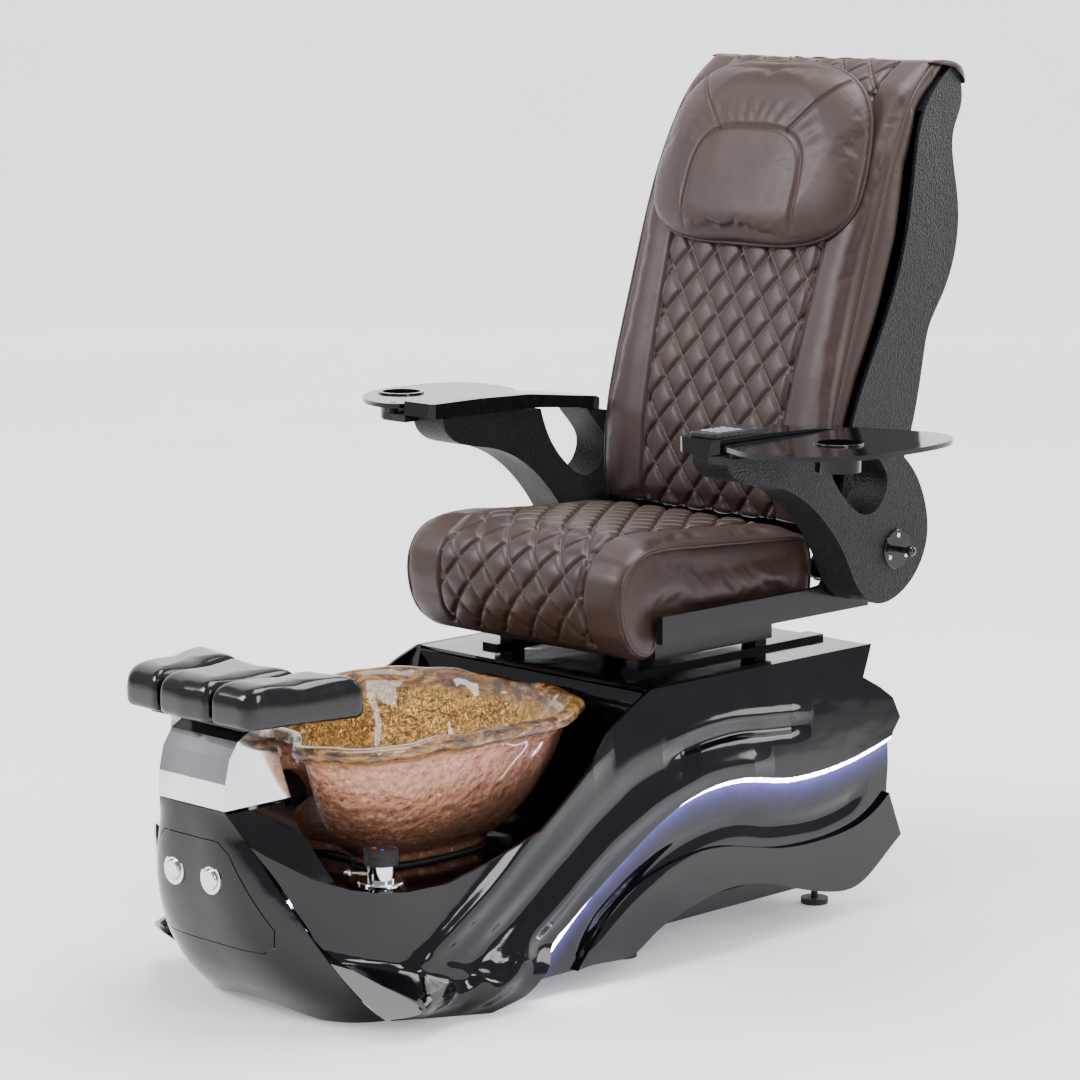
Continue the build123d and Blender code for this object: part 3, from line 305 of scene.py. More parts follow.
def leather(name="leather_brown", stitched=False):
    s = Shader(name)
    pores = s.voronoi(520, "DISTANCE_TO_EDGE")
    creases = s.noise(60, 8, 0.7, s.coords((1, 1, 1.6)), 0.6)
    tone = s.noise(6, 5, 0.6)
    warm = s.ramp(tone, [(0.25, (0.023, 0.0112, 0.0078)), (0.55, (0.038, 0.0190, 0.0132)),
                         (0.85, (0.052, 0.0270, 0.0190))])
    base = s.mix(s.grey(pores, 0.35, 0.0, 0.0, 0.12), warm, (0.012, 0.007, 0.005, 1))
    if stitched:
        attr = s.add("ShaderNodeAttribute", attribute_name="quilt")
        parts = s.add("ShaderNodeSeparateXYZ")
        s.link(attr.outputs["Vector"], parts.inputs[0])
        marks = []
        for a, b in ((0, 1), (1, 0)):
            off = s.math("ABSOLUTE", s.math("SUBTRACT", s.math("FRACT", parts.outputs[a]), 0.5))
            line = s.math("GREATER_THAN", off, 0.488)
            dash = s.math("LESS_THAN", s.math("FRACT", s.math("MULTIPLY", parts.outputs[b], 11.0)), 0.62)
            marks.append(s.math("MULTIPLY", line, dash))
        mark = s.math("MULTIPLY", s.math("MAXIMUM", *marks), s.math("GREATER_THAN", parts.outputs[2], 0.5))
        base = s.mix(mark, base, (0.17, 0.135, 0.11, 1))
    s.link(base, s.bsdf.inputs["Base Color"])
    s.link(s.grey(creases, 0.40, 0.54), s.bsdf.inputs["Roughness"])
    s.set(Specular_IOR_Level=0.42, Coat_Weight=0.06, Coat_Roughness=0.3)
    s.bump((s.noise(16, 3), 0.16, 0.004), (creases, 0.16, 0.0012), (pores, 0.30, 0.0005))
    return s


def amber_glass():
    """Art glass bowl: crinkled gold foil inside, hammered copper outside, amber streaks in the lip."""
    s = Shader("amber_foil_glass")
    geo = s.add("ShaderNodeNewGeometry")
    away = s.add("ShaderNodeVectorMath", operation="SUBTRACT")
    tex = s.add("ShaderNodeTexCoord")
    s.link(tex.outputs["Object"], away.inputs[0])
    away.inputs[1].default_value = (0.0, -0.315, 0.42)
    dot = s.add("ShaderNodeVectorMath", operation="DOT_PRODUCT")
    s.link(away.outputs[0], dot.inputs[0])
    s.link(geo.outputs["Normal"], dot.inputs[1])
    outer = s.grey(dot.outputs["Value"], 0.0, 1.0, -0.01, 0.02)
    height = s.add("ShaderNodeSeparateXYZ")
    s.link(tex.outputs["Object"], height.inputs[0])
    lip = s.grey(height.outputs[2], 0.0, 1.0, 0.412, 0.424)
    foil = s.noise(64, 10, 0.80, s.coords((1, 1, 0.8)), 3.4)
    folds = s.voronoi(30, "DISTANCE_TO_EDGE", s.coords((1, 1, 0.7)))
    pits = s.voronoi(74, "SMOOTH_F1")
    streak = s.noise(3.6, 8, 0.72, s.coords((3.2, 3.2, 9)), 2.6)
    gold = s.ramp(foil, [(0.36, (0.030, 0.012, 0.003)), (0.46, (0.20, 0.095, 0.020)),
                         (0.56, (0.52, 0.30, 0.085)), (0.66, (0.88, 0.66, 0.32))])
    copper = s.ramp(foil, [(0.34, (0.10, 0.030, 0.014)), (0.44, (0.50, 0.21, 0.115)),
                           (0.66, (0.86, 0.46, 0.29))])
    amber = s.ramp(streak, [(0.36, (0.020, 0.007, 0.002)), (0.48, (0.13, 0.050, 0.008)),
                            (0.58, (0.34, 0.165, 0.030)), (0.70, (0.62, 0.40, 0.12))])
    body = s.mix(outer, gold, copper)
    s.link(s.mix(lip, body, amber), s.bsdf.inputs["Base Color"])
    s.link(s.grey(foil, 0.10, 0.30), s.bsdf.inputs["Roughness"])
    s.link(s.math("MULTIPLY", s.math("SUBTRACT", 1.0, lip), 0.72), s.bsdf.inputs["Metallic"])
    s.set(Coat_Weight=0.7, Coat_Roughness=0.04, IOR=1.5)
    s.bump((s.noise(14, 3), 0.30, 0.006), (folds, 0.55, 0.004), (pits, 0.75, 0.005), (foil, 0.70, 0.0030))
    return s


def rubber():
    s = Shader("rubber_black")
    dust = s.noise(40, 6, 0.7)
    s.link(s.ramp(dust, [(0.3, (0.012, 0.012, 0.012)), (0.8, (0.035, 0.034, 0.033))]),
           s.bsdf.inputs["Base Color"])
    s.link(s.grey(dust, 0.6, 0.8), s.bsdf.inputs["Roughness"])
    s.bump((s.noise(500, 2), 0.2, 0.0004),)
    return s


def brass():
    s = Shader("brass_machined")
    turn = s.noise(12, 3, 0.5, s.coords((1, 26, 1)))
    s.link(s.ramp(turn, [(0.3, (0.45, 0.30, 0.10)), (0.7, (0.62, 0.46, 0.19))]), s.bsdf.inputs["Base Color"])
    s.link(s.grey(turn, 0.2, 0.38), s.bsdf.inputs["Roughness"])
    s.set(Metallic=1.0)
    s.bump((turn, 0.2, 0.0005),)
    return s


def pipe_grey():
    s = Shader("pipe_grey")
    scuff = s.noise(30, 8, 0.7, s.coords((1, 0.2, 1)))
    s.link(s.ramp(scuff, [(0.3, (0.20, 0.205, 0.21)), (0.75, (0.30, 0.305, 0.31))]),
           s.bsdf.inputs["Base Color"])
    s.link(s.grey(scuff, 0.35, 0.55), s.bsdf.inputs["Roughness"])
    s.bump((scuff, 0.1, 0.0004),)
    return s


def light_strip():
    s = Shader("light_strip_lit")
    bead = s.noise(75, 1, 0.3)
    s.link(s.ramp(bead, [(0.35, (0.80, 0.82, 1.0)), (0.7, (1, 1, 1))]), s.bsdf.inputs["Base Color"])
    s.link(s.grey(bead, 9.0, 40.0, 0.40, 0.60), s.bsdf.inputs["Emission Strength"])
    s.bsdf.inputs["Emission Color"].default_value = (0.80, 0.82, 1.0, 1)
    s.set(Roughness=0.3)
    return s


def tint(name, colour, rough=0.3):
    s = Shader(name)
    vary = s.noise(80, 4, 0.6)
    dark = tuple(c * 0.75 for c in colour)
    s.link(s.ramp(vary, [(0.3, dark), (0.7, colour)]), s.bsdf.inputs["Base Color"])
    s.link(s.grey(vary, rough, rough + 0.1), s.bsdf.inputs["Roughness"])
    s.bump((s.noise(300, 2), 0.05, 0.0003),)
    return s


M = {
    "shell": shell_black().mat,
    "flank": flank_black().mat,
    "panel": panel_black().mat,
    "chrome": chrome().mat,
    "arm": grained("plastic_grained", (0.0028, 0.0028, 0.0031), (0.0062, 0.0062, 0.0070), 0.52, 270).mat,
    "backshell": grained("plastic_back_shell", (0.0035, 0.0035, 0.0042), (0.008, 0.008, 0.009),
                         0.48, 270).mat,
    "cap": grained("plastic_cap", (0.010, 0.010, 0.011), (0.020, 0.020, 0.022), 0.24, 1500).mat,
    "gloss": gloss_black("gloss_black_trim", 0.07).mat,
    "pad": gloss_black("footrest_gloss", 0.12).mat,
    "steel": steel_black().mat,
    "leather": leather().mat,
    "quilt": leather("leather_quilted", True).mat,
    "bowl": amber_glass().mat,
    "rubber": rubber().mat,
    "brass": brass().mat,
    "pipe": pipe_grey().mat,
    "light": light_strip().mat,
    "red": tint("dot_red", (0.65, 0.02, 0.02)).mat,
    "blue": tint("dot_blue", (0.03, 0.08, 0.60)).mat,
    "key": tint("key_grey", (0.30, 0.31, 0.33), 0.35).mat,
    "screen": tint("screen_dark", (0.02, 0.03, 0.05), 0.08).mat,
}

LOOKS = {
    "flank": ["side_shell_left", "side_shell_right"],
    "shell": ["front_cowl", "deck_plate", "rear_panel", "basin_surround", "control_panel"],
    "panel": ["lower_panel_left", "lower_panel_right"],
    "light": ["light_strip_left", "light_strip_right"],
    "chrome": ["chrome_shroud", "button_bezels", "jet_button", "light_button", "bowl_drain", "jet_housing",
               "mixer_body", "mixer_sleeve", "actuator_rod", "massage_rollers"],
    "gloss": ["arm_rosette_left", "arm_rosette_right", "lock_knob_left", "lock_knob_right", "tray_left",
              "tray_right", "cup_holder_left", "cup_holder_right", "arm_cap_left", "arm_cap_right"],
    "steel": ["base_frame", "footrest_sleeve", "footrest_post", "slide_rails", "seat_pedestal", "seat_frame",
              "back_frame", "massage_carriage"],
    "arm": ["arm_left", "arm_right", "control_box", "jet_motor", "jet_impeller", "recline_actuator",
            "seat_glides"],
    "backshell": ["back_shell"],
    "cap": ["keypad", "mixer_knob"],
    "rubber": ["bowl_seal", "levelling_feet"],
    "pipe": ["waste_pipe"],
    "brass": ["water_inlets"],
}
BEVEL = {"arm_left": 7.0, "arm_right": 7.0, "arm_cap_left": 4.0, "arm_cap_right": 4.0,
         "back_shell": 9.0, "tray_left": 2.5, "tray_right": 2.5,
         "side_shell_left": 2.0, "side_shell_right": 2.0,
         "front_cowl": 1.5, "control_panel": 1.5, "lower_panel_left": 2.5, "lower_panel_right": 2.5,
         "chrome_shroud": 5.0, "basin_surround": 3.0, "deck_plate": 2.0, "rear_panel": 1.0, "seat_frame": 1.5,
         "seat_pedestal": 2.0, "slide_rails": 1.0, "footrest_post": 1.5, "mixer_sleeve": 2.0}

for look, names in LOOKS.items():
    for name in names:
        obj = NODES[name]
        slots = obj.material_slots
        if not slots:
            obj.data.materials.append(M[look])
        for item in obj.material_slots:
            item.material = M[look]

for name, width in BEVEL.items():
    mod = NODES[name].modifiers.new("edge", "BEVEL")
    mod.width = width * MM
    mod.segments = 3
    mod.limit_method = "ANGLE"
    mod.angle_limit = math.radians(38)
    mod.harden_normals = False


# ------------------------------------------------------------------ mesh helpers
def finish_piece(obj, body, slot, *replaced):
    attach(obj, body)
    if replaced:
        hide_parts(*replaced)
    return obj


def mesh_piece(name, verts, faces, mat, smooth=True):
    mesh = bpy.data.meshes.new(name)
    mesh.from_pydata([tuple(v) for v in verts], [], faces)
    mesh.validate()
    mesh.update()
    obj = bpy.data.objects.new(name, mesh)
    bpy.context.scene.collection.objects.link(obj)
    mesh.materials.append(mat)
    if smooth:
        mesh.polygons.foreach_set("use_smooth", [True] * len(mesh.polygons))
    return obj


def stacked(rings):
    """Faces of a closed skin through rings of equal length, with fan caps."""
    rings = np.asarray(rings, dtype=float)
    count, size, _ = rings.shape
    verts = rings.reshape(-1, 3).tolist()
    faces = []
    for i in range(count - 1):
        for j in range(size):
            k = (j + 1) % size
            faces.append((i * size + j, i * size + k, (i + 1) * size + k, (i + 1) * size + j))
    for i, flip in ((0, True), (count - 1, False)):
        verts.append(rings[i].mean(axis=0).tolist())
        hub = len(verts) - 1
        for j in range(size):
            k = (j + 1) % size
            face = (i * size + j, i * size + k, hub)
            faces.append(face[::-1] if flip else face)
    return verts, faces


def coords_of(mesh):
    flat = np.empty(len(mesh.vertices) * 3)
    mesh.vertices.foreach_get("co", flat)
    return flat.reshape(-1, 3)


def normals_of(mesh):
    flat = np.empty(len(mesh.vertices) * 3)
    mesh.vertex_normals.foreach_get("vector", flat)
    return flat.reshape(-1, 3)


def write_coords(mesh, points):
    mesh.vertices.foreach_set("co", np.ascontiguousarray(points).ravel())
    mesh.update()


def apply_all(obj):
    """Bake the modifiers of a piece into its mesh."""
    deps = bpy.context.evaluated_depsgraph_get()
    baked = bpy.data.meshes.new_from_object(obj.evaluated_get(deps))
    obj.modifiers.clear()
    old = obj.data
    obj.data = baked
    bpy.data.meshes.remove(old)
    baked.polygons.foreach_set("use_smooth", [True] * len(baked.polygons))


def stuffed(name, rings, mat, voxel=6.0, cap=12.0, pressure=4.0, smooth=6, blown=True):
    """A padded form: a closed skin, remeshed and blown up a little like a sewn cover."""
    verts, faces = stacked(rings)
    obj = mesh_piece(name, verts, faces, mat)
    remesh = obj.modifiers.new("voxels", "REMESH")
    remesh.mode = "VOXEL"
    remesh.voxel_size = voxel * MM
    soften = obj.modifiers.new("soften", "SMOOTH")
    soften.factor = 0.5
    soften.iterations = smooth
    apply_all(obj)
    if blown:
        start = coords_of(obj.data)
        out = normals_of(obj.data)
        cloth = obj.modifiers.new("stuffing", "CLOTH")
        cloth.settings.quality = 4
        cloth.settings.mass = 0.3
        cloth.settings.tension_stiffness = 25
        cloth.settings.compression_stiffness = 25
        cloth.settings.shear_stiffness = 12
        cloth.settings.bending_stiffness = 2
        cloth.settings.use_pressure = True
        cloth.settings.uniform_pressure_force = pressure
        cloth.settings.effector_weights.gravity = 0
        cloth.collision_settings.use_collision = False
        cloth.point_cache.frame_end = 20
        for step in range(1, 21):
            bpy.context.scene.frame_set(step)
        apply_all(obj)
        bpy.context.scene.frame_set(1)
        move = coords_of(obj.data) - start
        rise = (move * out).sum(axis=1, keepdims=True)
        move = move + out * (np.maximum(rise, 0.12 * rise) - rise)  # a stuffed cover hardly draws inward
        far = np.linalg.norm(move, axis=1, keepdims=True)
        limit = cap * MM
        write_coords(obj.data, start + move * np.minimum(1.0, limit / np.maximum(far, 1e-9)))
    fine = obj.modifiers.new("fine", "SUBSURF")
    fine.levels = 1
    fine.render_levels = 1
    apply_all(obj)
    return obj


def tube_piece(name, points, radius, mat, body, slot, closed=False, onto=None):
    """Piping or a bead along a line of points (mm), sewn down onto a cover if one is given."""
    if onto is not None:
        sewn = []
        for point in points:
            found, near, out, _ = onto.closest_point_on_mesh(Vector(point) * MM)
            place = (near + out * radius * 0.35 * MM) / MM if found else Vector(point)
            sewn.append(tuple(place))
        points = np.array(sewn)
        for _ in range(2):
            inner = 0.5 * points + 0.25 * (np.roll(points, 1, axis=0) + np.roll(points, -1, axis=0))
            if not closed:
                inner[[0, -1]] = points[[0, -1]]
            points = inner
    curve = bpy.data.curves.new(name, "CURVE")
    curve.dimensions = "3D"
    curve.bevel_depth = radius * MM
    curve.bevel_resolution = 3
    curve.resolution_u = 8
    spline = curve.splines.new("NURBS")
    spline.points.add(len(points) - 1)
    for point, (x, y, z) in zip(spline.points, points):
        point.co = (x * MM, y * MM, z * MM, 1)
    spline.order_u = 4
    spline.use_endpoint_u = not closed
    spline.use_cyclic_u = closed
    curve.materials.append(mat)
    obj = bpy.data.objects.new(name, curve)
    bpy.context.scene.collection.objects.link(obj)
    return finish_piece(obj, body, slot)


def resample(points, count, closed=False):
    """Evenly spaced points along a smooth line through the given ones."""
    pts = np.asarray(points, dtype=float)
    if closed:
        pts = np.vstack([pts, pts[:1]])
    far = np.r_[0, np.cumsum(np.linalg.norm(np.diff(pts, axis=0), axis=1))]
    want = np.linspace(0, far[-1], count, endpoint=not closed)
    return np.stack([np.interp(want, far, pts[:, i]) for i in range(pts.shape[1])], axis=1)


def groove(distance, width):
    """1 at a seam, falling to 0 over its width."""
    return np.exp(-(distance / width) ** 2)


for strip_name in ("light_strip_left", "light_strip_right"):
    strip = bpy.data.objects[strip_name]
    swell = strip.modifiers.new("swell", "DISPLACE")
    swell.strength = 0.0022
    swell.mid_level = 0.0

# ------------------------------------------------------------------- back cushion
FRONT = np.array([(421, 672), (424, 740), (434, 830), (458, 930), (496, 1060), (536, 1190), (584, 1310),
                  (648, 1412), (706, 1452)], dtype=float)
REAR = np.array([(462, 672), (466, 760), (478, 852), (506, 922), (564, 1036), (606, 1151), (632, 1270),
                 (668, 1374), (758, 1452)], dtype=float)
WIDTH = np.array([(672, 256), (760, 270), (850, 277), (1000, 280), (1180, 281), (1330, 274), (1460, 262)],
                 dtype=float)


def back_ring(t, size=96):
    """One level of the back cushion, front crowned and rear flatter."""
    f = np.array([np.interp(t, np.linspace(0, 1, len(FRONT)), FRONT[:, i]) for i in (0, 1)])
    r = np.array([np.interp(t, np.linspace(0, 1, len(REAR)), REAR[:, i]) for i in (0, 1)])
    w = np.interp((f[1] + r[1]) / 2, WIDTH[:, 0], WIDTH[:, 1]) - 6
    ring = []
    for a in np.linspace(0, 2 * math.pi, size, endpoint=False):
        c, s = math.cos(a), math.sin(a)
        x = w * math.copysign(abs(c) ** 0.28, c)
        side = math.copysign(abs(s) ** 0.42, s)
        mid = (f + r) / 2
        half = (f - r) / 2
        y, z = mid + half * side
        ring.append((x * MM, y * MM, z * MM))
    return ring


levels = [0.0, 0.012] + list(np.linspace(0.04, 0.96, 40)) + [0.985, 1.0]
rings = [back_ring(t) for t in levels]
rings[0] = [tuple(np.array(p) * 0.1 + np.array(rings[0]).mean(axis=0) * 0.9) for p in rings[0]]
back = stuffed("back_cushion_cover", rings, M["quilt"], 6.0, 9.0)


def along_back(points):
    """Distance up the front of the back, mm."""
    far = np.r_[0, np.cumsum(np.linalg.norm(np.diff(FRONT, axis=0), axis=1))]
    return np.interp(points[:, 2] * 1000, FRONT[:, 1], far)


QUILT = 62.0


def quilt_piece(obj, across, along, mask, puff, depth):
    """Sew a diamond pattern into a piece where the mask is 1."""
    mesh = obj.data
    points = coords_of(mesh)
    normals = normals_of(mesh)
    a = (across / QUILT + along / (QUILT * 1.25)) / 1.0
    b = (across / QUILT - along / (QUILT * 1.25)) / 1.0
    da = np.abs((a + 0.5) % 1.0 - 0.5) * QUILT * 0.78
    db = np.abs((b + 0.5) % 1.0 - 0.5) * QUILT * 0.78
    pillow = np.sqrt(np.abs(np.sin(np.pi * a) * np.sin(np.pi * b)))
    lift = puff * pillow - depth * np.maximum(groove(da, 3.2), groove(db, 3.2))
    write_coords(mesh, points + normals * (lift * mask * MM)[:, None])
    data = np.stack([a, b, mask], axis=1).astype(np.float32)
    layer = mesh.attributes.new("quilt", "FLOAT_VECTOR", "POINT")
    layer.data.foreach_set("vector", data.ravel())


pts = coords_of(back.data)
nrm = normals_of(back.data)
x = pts[:, 0] * 1000
s_up = along_back(pts)
front_side = (nrm[:, 1] < -0.35).astype(float)
edge = 150 + 34 * np.clip(s_up / 700, 0, 1)
inside = front_side * (np.abs(x) < edge)
seam = front_side * groove(np.abs(x) - edge, 5.0)
channel = front_side * (np.abs(x) > edge) * 3.0 * groove(np.abs(x) - (edge + 46), 26)
write_coords(back.data, pts + nrm * ((channel - 7.0 * seam) * MM)[:, None])
quilt_piece(back, x, s_up, inside, 4.0, 5.0)
finish_piece(back, "back", "leather", "back_cushion")

for sx, tag in ((-1, "right"), (1, "left")):
    line = []
    for t in np.linspace(0.02, 0.985, 26):
        f = np.array([np.interp(t, np.linspace(0, 1, len(FRONT)), FRONT[:, i]) for i in (0, 1)])
        r = np.array([np.interp(t, np.linspace(0, 1, len(REAR)), REAR[:, i]) for i in (0, 1)])
        w = np.interp(f[1], WIDTH[:, 0], WIDTH[:, 1])
        y, z = f + (r - f) * 0.10
        line.append((sx * (w - 8), y + 2, z))
    tube_piece(f"back_piping_{tag}", line, 3.2, M["leather"], "back", "leather", onto=back)
    inner = []
    for t in np.linspace(0.03, 0.93, 24):
        f = np.array([np.interp(t, np.linspace(0, 1, len(FRONT)), FRONT[:, i]) for i in (0, 1)])
        steps = np.linalg.norm(np.diff(FRONT, axis=0), axis=1)
        s_here = np.interp(f[1], FRONT[:, 1], np.r_[0, np.cumsum(steps)])
        inner.append((sx * (150 + 34 * min(s_here / 700, 1)), f[0] + 2.5, f[1]))
    tube_piece(f"back_seam_bead_{tag}", inner, 1.9, M["leather"], "back", "leather", onto=back)

# ------------------------------------------------------- leather flap over the top
HOOD = [(700, 1450.5), (722, 1453.0), (742, 1452.6), (760, 1449.0), (771, 1441.5), (774.5, 1430.0),
        (774.0, 1416.0)]
hood_rows = []
for side in (1, -1):
    for k, (y, z) in enumerate(HOOD if side == 1 else HOOD[::-1]):
        share = (k if side == 1 else len(HOOD) - 1 - k) / (len(HOOD) - 1)
        row = []
        for u in np.linspace(-1, 1, 61):
            tip = abs(u) ** 7
            hem = 9 * math.sin(u * 9 + 0.6) * share * (1 - tip)
            row.append(((u * (259 + 14 * share * tip)) * MM, (y + side * 0.4 + 8 * tip * share) * MM,
                        (z + side * 2.4 - 2.2 + tip * (6.5 - 4 * share) - max(0, share - 0.7) * hem) * MM))
        hood_rows.append(row)
hood_verts = [p for row in hood_rows for p in row]
n_rows, n_cols = len(hood_rows), 61
hood_faces = []
for r in range(n_rows):
    nxt = (r + 1) % n_rows
    for c in range(n_cols - 1):
        hood_faces.append((r * n_cols + c, nxt * n_cols + c, nxt * n_cols + c + 1, r * n_cols + c + 1))
hood_faces.append(tuple(r * n_cols for r in range(n_rows))[::-1])
hood_faces.append(tuple(r * n_cols + n_cols - 1 for r in range(n_rows)))
hood = mesh_piece("back_top_flap", hood_verts, hood_faces, M["leather"])
soft_edge = hood.modifiers.new("fine", "SUBSURF")
soft_edge.levels = 1
soft_edge.render_levels = 2
finish_piece(hood, "back", "leather")

# ------------------------------------------------------------------- seat cushion
SEAT = [(22, 541), (14, 503), (-8, 500), (-32, 515), (-57, 550), (-68, 600), (-64, 640), (-45, 669),
        (-10, 687), (60, 688), (170, 682), (290, 675), (396, 668), (408, 655), (410, 600), (406, 545)]
profile = resample(SEAT, 110, closed=True)
centre = np.array([170.0, 612.0])
rings = []
for x_mm in [-256, -255, -251, -243] + list(np.linspace(-225, 225, 19)) + [243, 251, 255, 256]:
    inset = {256: 22, 255: 13, 251: 6, 243: 2}.get(abs(x_mm), 0)
    span = np.abs(profile - centre)
    shrink = 1 - inset / np.maximum(span.max(axis=0), 1)
    crown = 5.0 * (1 - (x_mm / 256) ** 2)
    ring = centre + (profile - centre) * shrink
    top = (ring[:, 1] > 640)
    ring[:, 1] += crown * top
    rings.append([(x_mm * MM, y * MM, z * MM) for y, z in ring])
seat = stuffed("seat_cushion_cover", rings, M["quilt"], 6.0, 10.0)
pts = coords_of(seat.data)
nrm = normals_of(seat.data)
x = pts[:, 0] * 1000
y = pts[:, 1] * 1000
z = pts[:, 2] * 1000
round_front = np.where(y < 0, (np.arctan2(-y, z - 600) * 75), 0)
s_seat = np.where(y >= 0, -y, round_front)
upper = ((nrm[:, 2] > 0.35) | ((y < -10) & (np.abs(nrm[:, 0]) < 0.5) & (z > 520))).astype(float)
inside = upper * (np.abs(x) < 166)
seam = upper * groove(np.abs(x) - 166, 5.0)
write_coords(seat.data, pts + nrm * ((-6.5 * seam) * MM)[:, None])
quilt_piece(seat, x, s_seat, inside, 4.0, 5.0)
finish_piece(seat, "seat", "leather", "seat_cushion")

rim = resample([(20, 545), (12, 508), (-8, 503), (-30, 518), (-54, 552), (-64, 600), (-61, 638), (-43, 666),
                (-10, 685), (60, 687), (170, 681), (290, 674), (392, 668), (404, 655), (406, 600),
                (404, 548)], 44)
for sx, tag in ((-1, "right"), (1, "left")):
    line = [(sx * 253, yy, zz) for yy, zz in rim]
    tube_piece(f"seat_piping_{tag}", line, 3.6, M["leather"], "seat", "leather", onto=seat)

# ------------------------------------------------------------------ headrest pillow
PILLOW_MID = np.array([568.0, 1290.0])
LEAN = math.radians(20.0)
UP = np.array([math.sin(LEAN), math.cos(LEAN)])
OUT = np.array([-math.cos(LEAN), math.sin(LEAN)])


def pillow_outline(a):
    """Half width and half height of the pillow at an angle round it."""
    c, s = math.cos(a), math.sin(a)
    w = 236 * math.copysign(abs(c) ** 0.62, c)
    h = 168 * math.copysign(abs(s) ** 0.66, s)
    return w * (1.0 - 0.08 * (h / 168)), h


rings = []
for k in np.linspace(-1, 1, 15):
    f = (1 - abs(k) ** 2.6) ** 0.5 if abs(k) < 1 else 0.0
    scale = 0.30 + 0.70 * f
    ring = []
    for a in np.linspace(0, 2 * math.pi, 90, endpoint=False):
        u, v = pillow_outline(a)
        u, v = u * scale, v * scale
        bulge = 32 * k * (1 if k > 0 else 0.45)
        bend = 0.00022 * u * u
        place = PILLOW_MID + UP * v + OUT * (bulge + 12 - bend * 0.6)
        ring.append((u * MM, place[0] * MM, place[1] * MM))
    rings.append(ring)
pillow = stuffed("headrest_pillow_cover", rings, M["leather"], 5.0, 12.0)
pts = coords_of(pillow.data)
nrm = normals_of(pillow.data)
u = pts[:, 0] * 1000
rel = pts[:, 1:] * 1000 - PILLOW_MID
v = rel @ UP
face = (nrm[:, 1] < -0.2).astype(float)
arch_r = ((np.abs(u) / 126) ** 3.4 + (np.abs(v + 86) / 122) ** 3.4) ** (1 / 3.4)
open_foot = np.clip((v + 150) / 40, 0, 1)
arch = face * groove((arch_r - 1.0) * 120, 4.2) * open_foot
angle = np.arctan2(v + 60, u)
fade = np.clip(1 - np.abs(arch_r - 1.22) / 0.26, 0, 1) ** 1.5
gathers = np.sin(angle * 31) * 0.6 + np.sin(angle * 19 + 1.0) * 0.4
pleat = face * fade * gathers * np.clip((v + 40) / 80, 0, 1)
spokes = np.zeros_like(u)
for where in (0.86, 2.28):
    spokes += face * (arch_r > 1) * groove((angle - where) * 150 * arch_r, 4.0)
write_coords(pillow.data, pts + nrm * ((-5.0 * arch + 1.5 * pleat - 4.0 * spokes) * MM)[:, None])
finish_piece(pillow, "back", "leather", "headrest_pillow")
edge_line = []
for a in np.linspace(0, 2 * math.pi, 60, endpoint=False):
    w, h = pillow_outline(a)
    place = PILLOW_MID + UP * h + OUT * (12 - 0.00013 * w * w)
    edge_line.append((w * 1.005, place[0], place[1]))
tube_piece("pillow_piping", edge_line, 4.0, M["leather"], "back", "leather", closed=True, onto=pillow)

# ------------------------------------------------------------------- glass bowl
RIM = [(0, -600), (50, -602), (92, -622), (118, -656), (160, -664), (212, -622), (252, -535), (270, -420),
       (270, -290), (254, -165), (208, -88), (125, -48), (0, -36)]
half = resample(RIM, 90)
loop = np.vstack([half, half[::-1][1:-1] * np.array([-1, 1])])
loop = resample(loop, 240, closed=True)
for _ in range(5):
    loop = 0.5 * loop + 0.25 * (np.roll(loop, 1, axis=0) + np.roll(loop, -1, axis=0))
BOWL_MID = np.array([0.0, -315.0])
turn = np.arange(240) / 240 * 2 * math.pi
wave_out = (2.6 * np.sin(7 * turn + 0.6) + 1.8 * np.sin(13 * turn + 2.1) + 1.2 * np.sin(23 * turn + 0.3)
            + 0.8 * np.sin(41 * turn + 1.7))
wave_up = 2.4 * np.sin(5 * turn + 1.1) + 1.8 * np.sin(11 * turn + 0.4) + 1.1 * np.sin(19 * turn + 2.6)
SECTION = [  # scale of the outline, height, share of the lip's waves
    (0.405, 216, 0), (0.46, 216, 0), (0.465, 226, 0), (0.475, 236, 0), (0.53, 240, 0), (0.60, 258, 0),
    (0.68, 285, 0), (0.745, 315, 0), (0.80, 345, 0), (0.84, 373, 0), (0.87, 400, 0.1), (0.895, 417, 0.3),
    (0.925, 423, 0.6), (0.965, 424, 0.9), (0.985, 428, 1), (0.992, 436, 1), (0.982, 444, 1), (0.955, 447, 1),
    (0.925, 446, 0.9), (0.895, 440, 0.7), (0.868, 430, 0.4), (0.845, 414, 0.2), (0.82, 396, 0.1),
    (0.79, 372, 0), (0.75, 345, 0), (0.695, 314, 0), (0.63, 285, 0), (0.54, 262, 0), (0.44, 250, 0),
    (0.28, 248, 0), (0.12, 248, 0)]
rings = []
for scale, z_mm, share in SECTION:
    ring = BOWL_MID + (loop - BOWL_MID) * scale
    out = (loop - BOWL_MID) / np.linalg.norm(loop - BOWL_MID, axis=1, keepdims=True)
    ring = ring + out * (wave_out * share)[:, None]
    ripple = 0.8 * np.sin(17 * turn + z_mm * 0.06) + 0.6 * np.sin(29 * turn - z_mm * 0.09)
    ring = ring + out * (ripple * (1 - share))[:, None] * (z_mm > 240)
    rings.append([(px * MM, py * MM, (z_mm + up) * MM) for (px, py), up in zip(ring, wave_up * share)])
verts, faces = stacked(rings)
bowl = mesh_piece("glass_bowl_blown", verts, faces, M["bowl"])
fine = bowl.modifiers.new("fine", "SUBSURF")
fine.levels = 1
fine.render_levels = 2
finish_piece(bowl, "base", "bowl", "glass_bowl")

